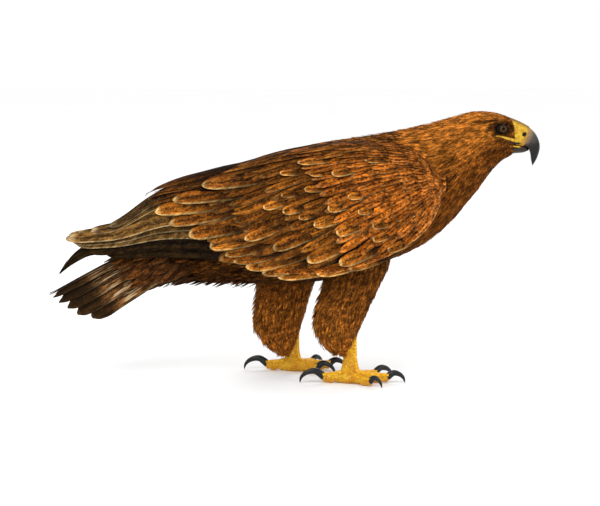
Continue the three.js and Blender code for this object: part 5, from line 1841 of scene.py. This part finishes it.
class EAGLE_OT_stage(EagleOperator, bpy.types.Operator):
    """Pale floor, soft light and the camera"""

    bl_idname = "eagle.stage"
    bl_label = "Stage"

    def build(self, context):
        p, sizes = palette(), context.scene.eagle_sizes

        def color(tree):
            darker = [c * FLOOR_MOTTLE for c in p["floor"]]
            return blend(tree, noise(tree, objects_place(tree), 3.0), p["floor"], darker)

        corners = [(x * FLOOR_HALF, y * FLOOR_HALF, 0) for x, y in ((-1, -1), (1, -1), (1, 1), (-1, 1))]
        floor = bpy.data.objects.new("floor", bpy.data.meshes.new("floor"))
        floor.data.from_pydata(corners, [], [(0, 1, 2, 3)])
        floor.data.materials.append(surface_material("Floor", color, 0.9))
        context.scene.collection.objects.link(floor)
        for name, (place, size, share) in LIGHTS.items():
            self.light(name, place, size, sizes.key_power * share)
        world = bpy.data.worlds.new("studio")
        context.scene.world = world
        world.use_nodes = True
        sky = world.node_tree.nodes["Background"]
        sky.inputs["Color"].default_value = (1, 1, 1, 1)
        sky.inputs["Strength"].default_value = 1.0
        context.scene.view_settings.view_transform = "Standard"
        lens = bpy.data.cameras.new("camera")
        lens.sensor_width = SENSOR
        lens.lens = SENSOR * sizes.camera_distance / VIEW_WIDTH
        lens.clip_end = 50
        camera = bpy.data.objects.new("camera", lens)
        tilt = math.radians(VIEW_ELEVATION)
        away = Vector((0, -math.cos(tilt), math.sin(tilt))) * sizes.camera_distance
        camera.location = VIEW_CENTRE + away
        camera.rotation_euler = (-away).to_track_quat("-Z", "Y").to_euler()
        context.scene.collection.objects.link(camera)
        context.scene.camera = camera

    def light(self, name, place, size, power):
        """A square soft light that faces the bird."""
        data = bpy.data.lights.new(name, "AREA")
        data.size = size
        data.energy = power
        lamp = bpy.data.objects.new(name, data)
        lamp.location = place
        lamp.rotation_euler = (VIEW_CENTRE - lamp.location).to_track_quat("-Z", "Y").to_euler()
        bpy.context.scene.collection.objects.link(lamp)


OPERATORS = (
    EAGLE_OT_skin, EAGLE_OT_head, EAGLE_OT_nape, EAGLE_OT_body, EAGLE_OT_trousers, EAGLE_OT_wings,
    EAGLE_OT_tail, EAGLE_OT_eyes, EAGLE_OT_bill, EAGLE_OT_feet, EAGLE_OT_stage,
)


class EAGLE_PT_panel(bpy.types.Panel):
    """Buttons for the eagle's pieces, with their sizes and colours"""

    bl_idname = "EAGLE_PT_panel"
    bl_label = "Golden Eagle"
    bl_space_type = "VIEW_3D"
    bl_region_type = "UI"
    bl_category = "Eagle"

    def draw(self, context):
        for operator in OPERATORS:
            self.layout.operator(operator.bl_idname)
        for group in (context.scene.eagle_sizes, context.scene.eagle_colours):
            for name in group.__annotations__:
                self.layout.prop(group, name)


CLASSES = (EagleColours, EagleSizes, *OPERATORS, EAGLE_PT_panel)


def register():
    """Adds the classes and the scene's two groups of settings."""
    for cls in CLASSES:
        bpy.utils.register_class(cls)
    bpy.types.Scene.eagle_colours = bpy.props.PointerProperty(type=EagleColours)
    bpy.types.Scene.eagle_sizes = bpy.props.PointerProperty(type=EagleSizes)


def unregister():
    """Takes away what register adds."""
    del bpy.types.Scene.eagle_sizes
    del bpy.types.Scene.eagle_colours
    for cls in reversed(CLASSES):
        bpy.utils.unregister_class(cls)


def main():
    """Registers the add-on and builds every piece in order."""
    register()
    for operator in OPERATORS:
        group, name = operator.bl_idname.split(".")
        getattr(getattr(bpy.ops, group), name)()


if __name__ == "__main__":
    main()
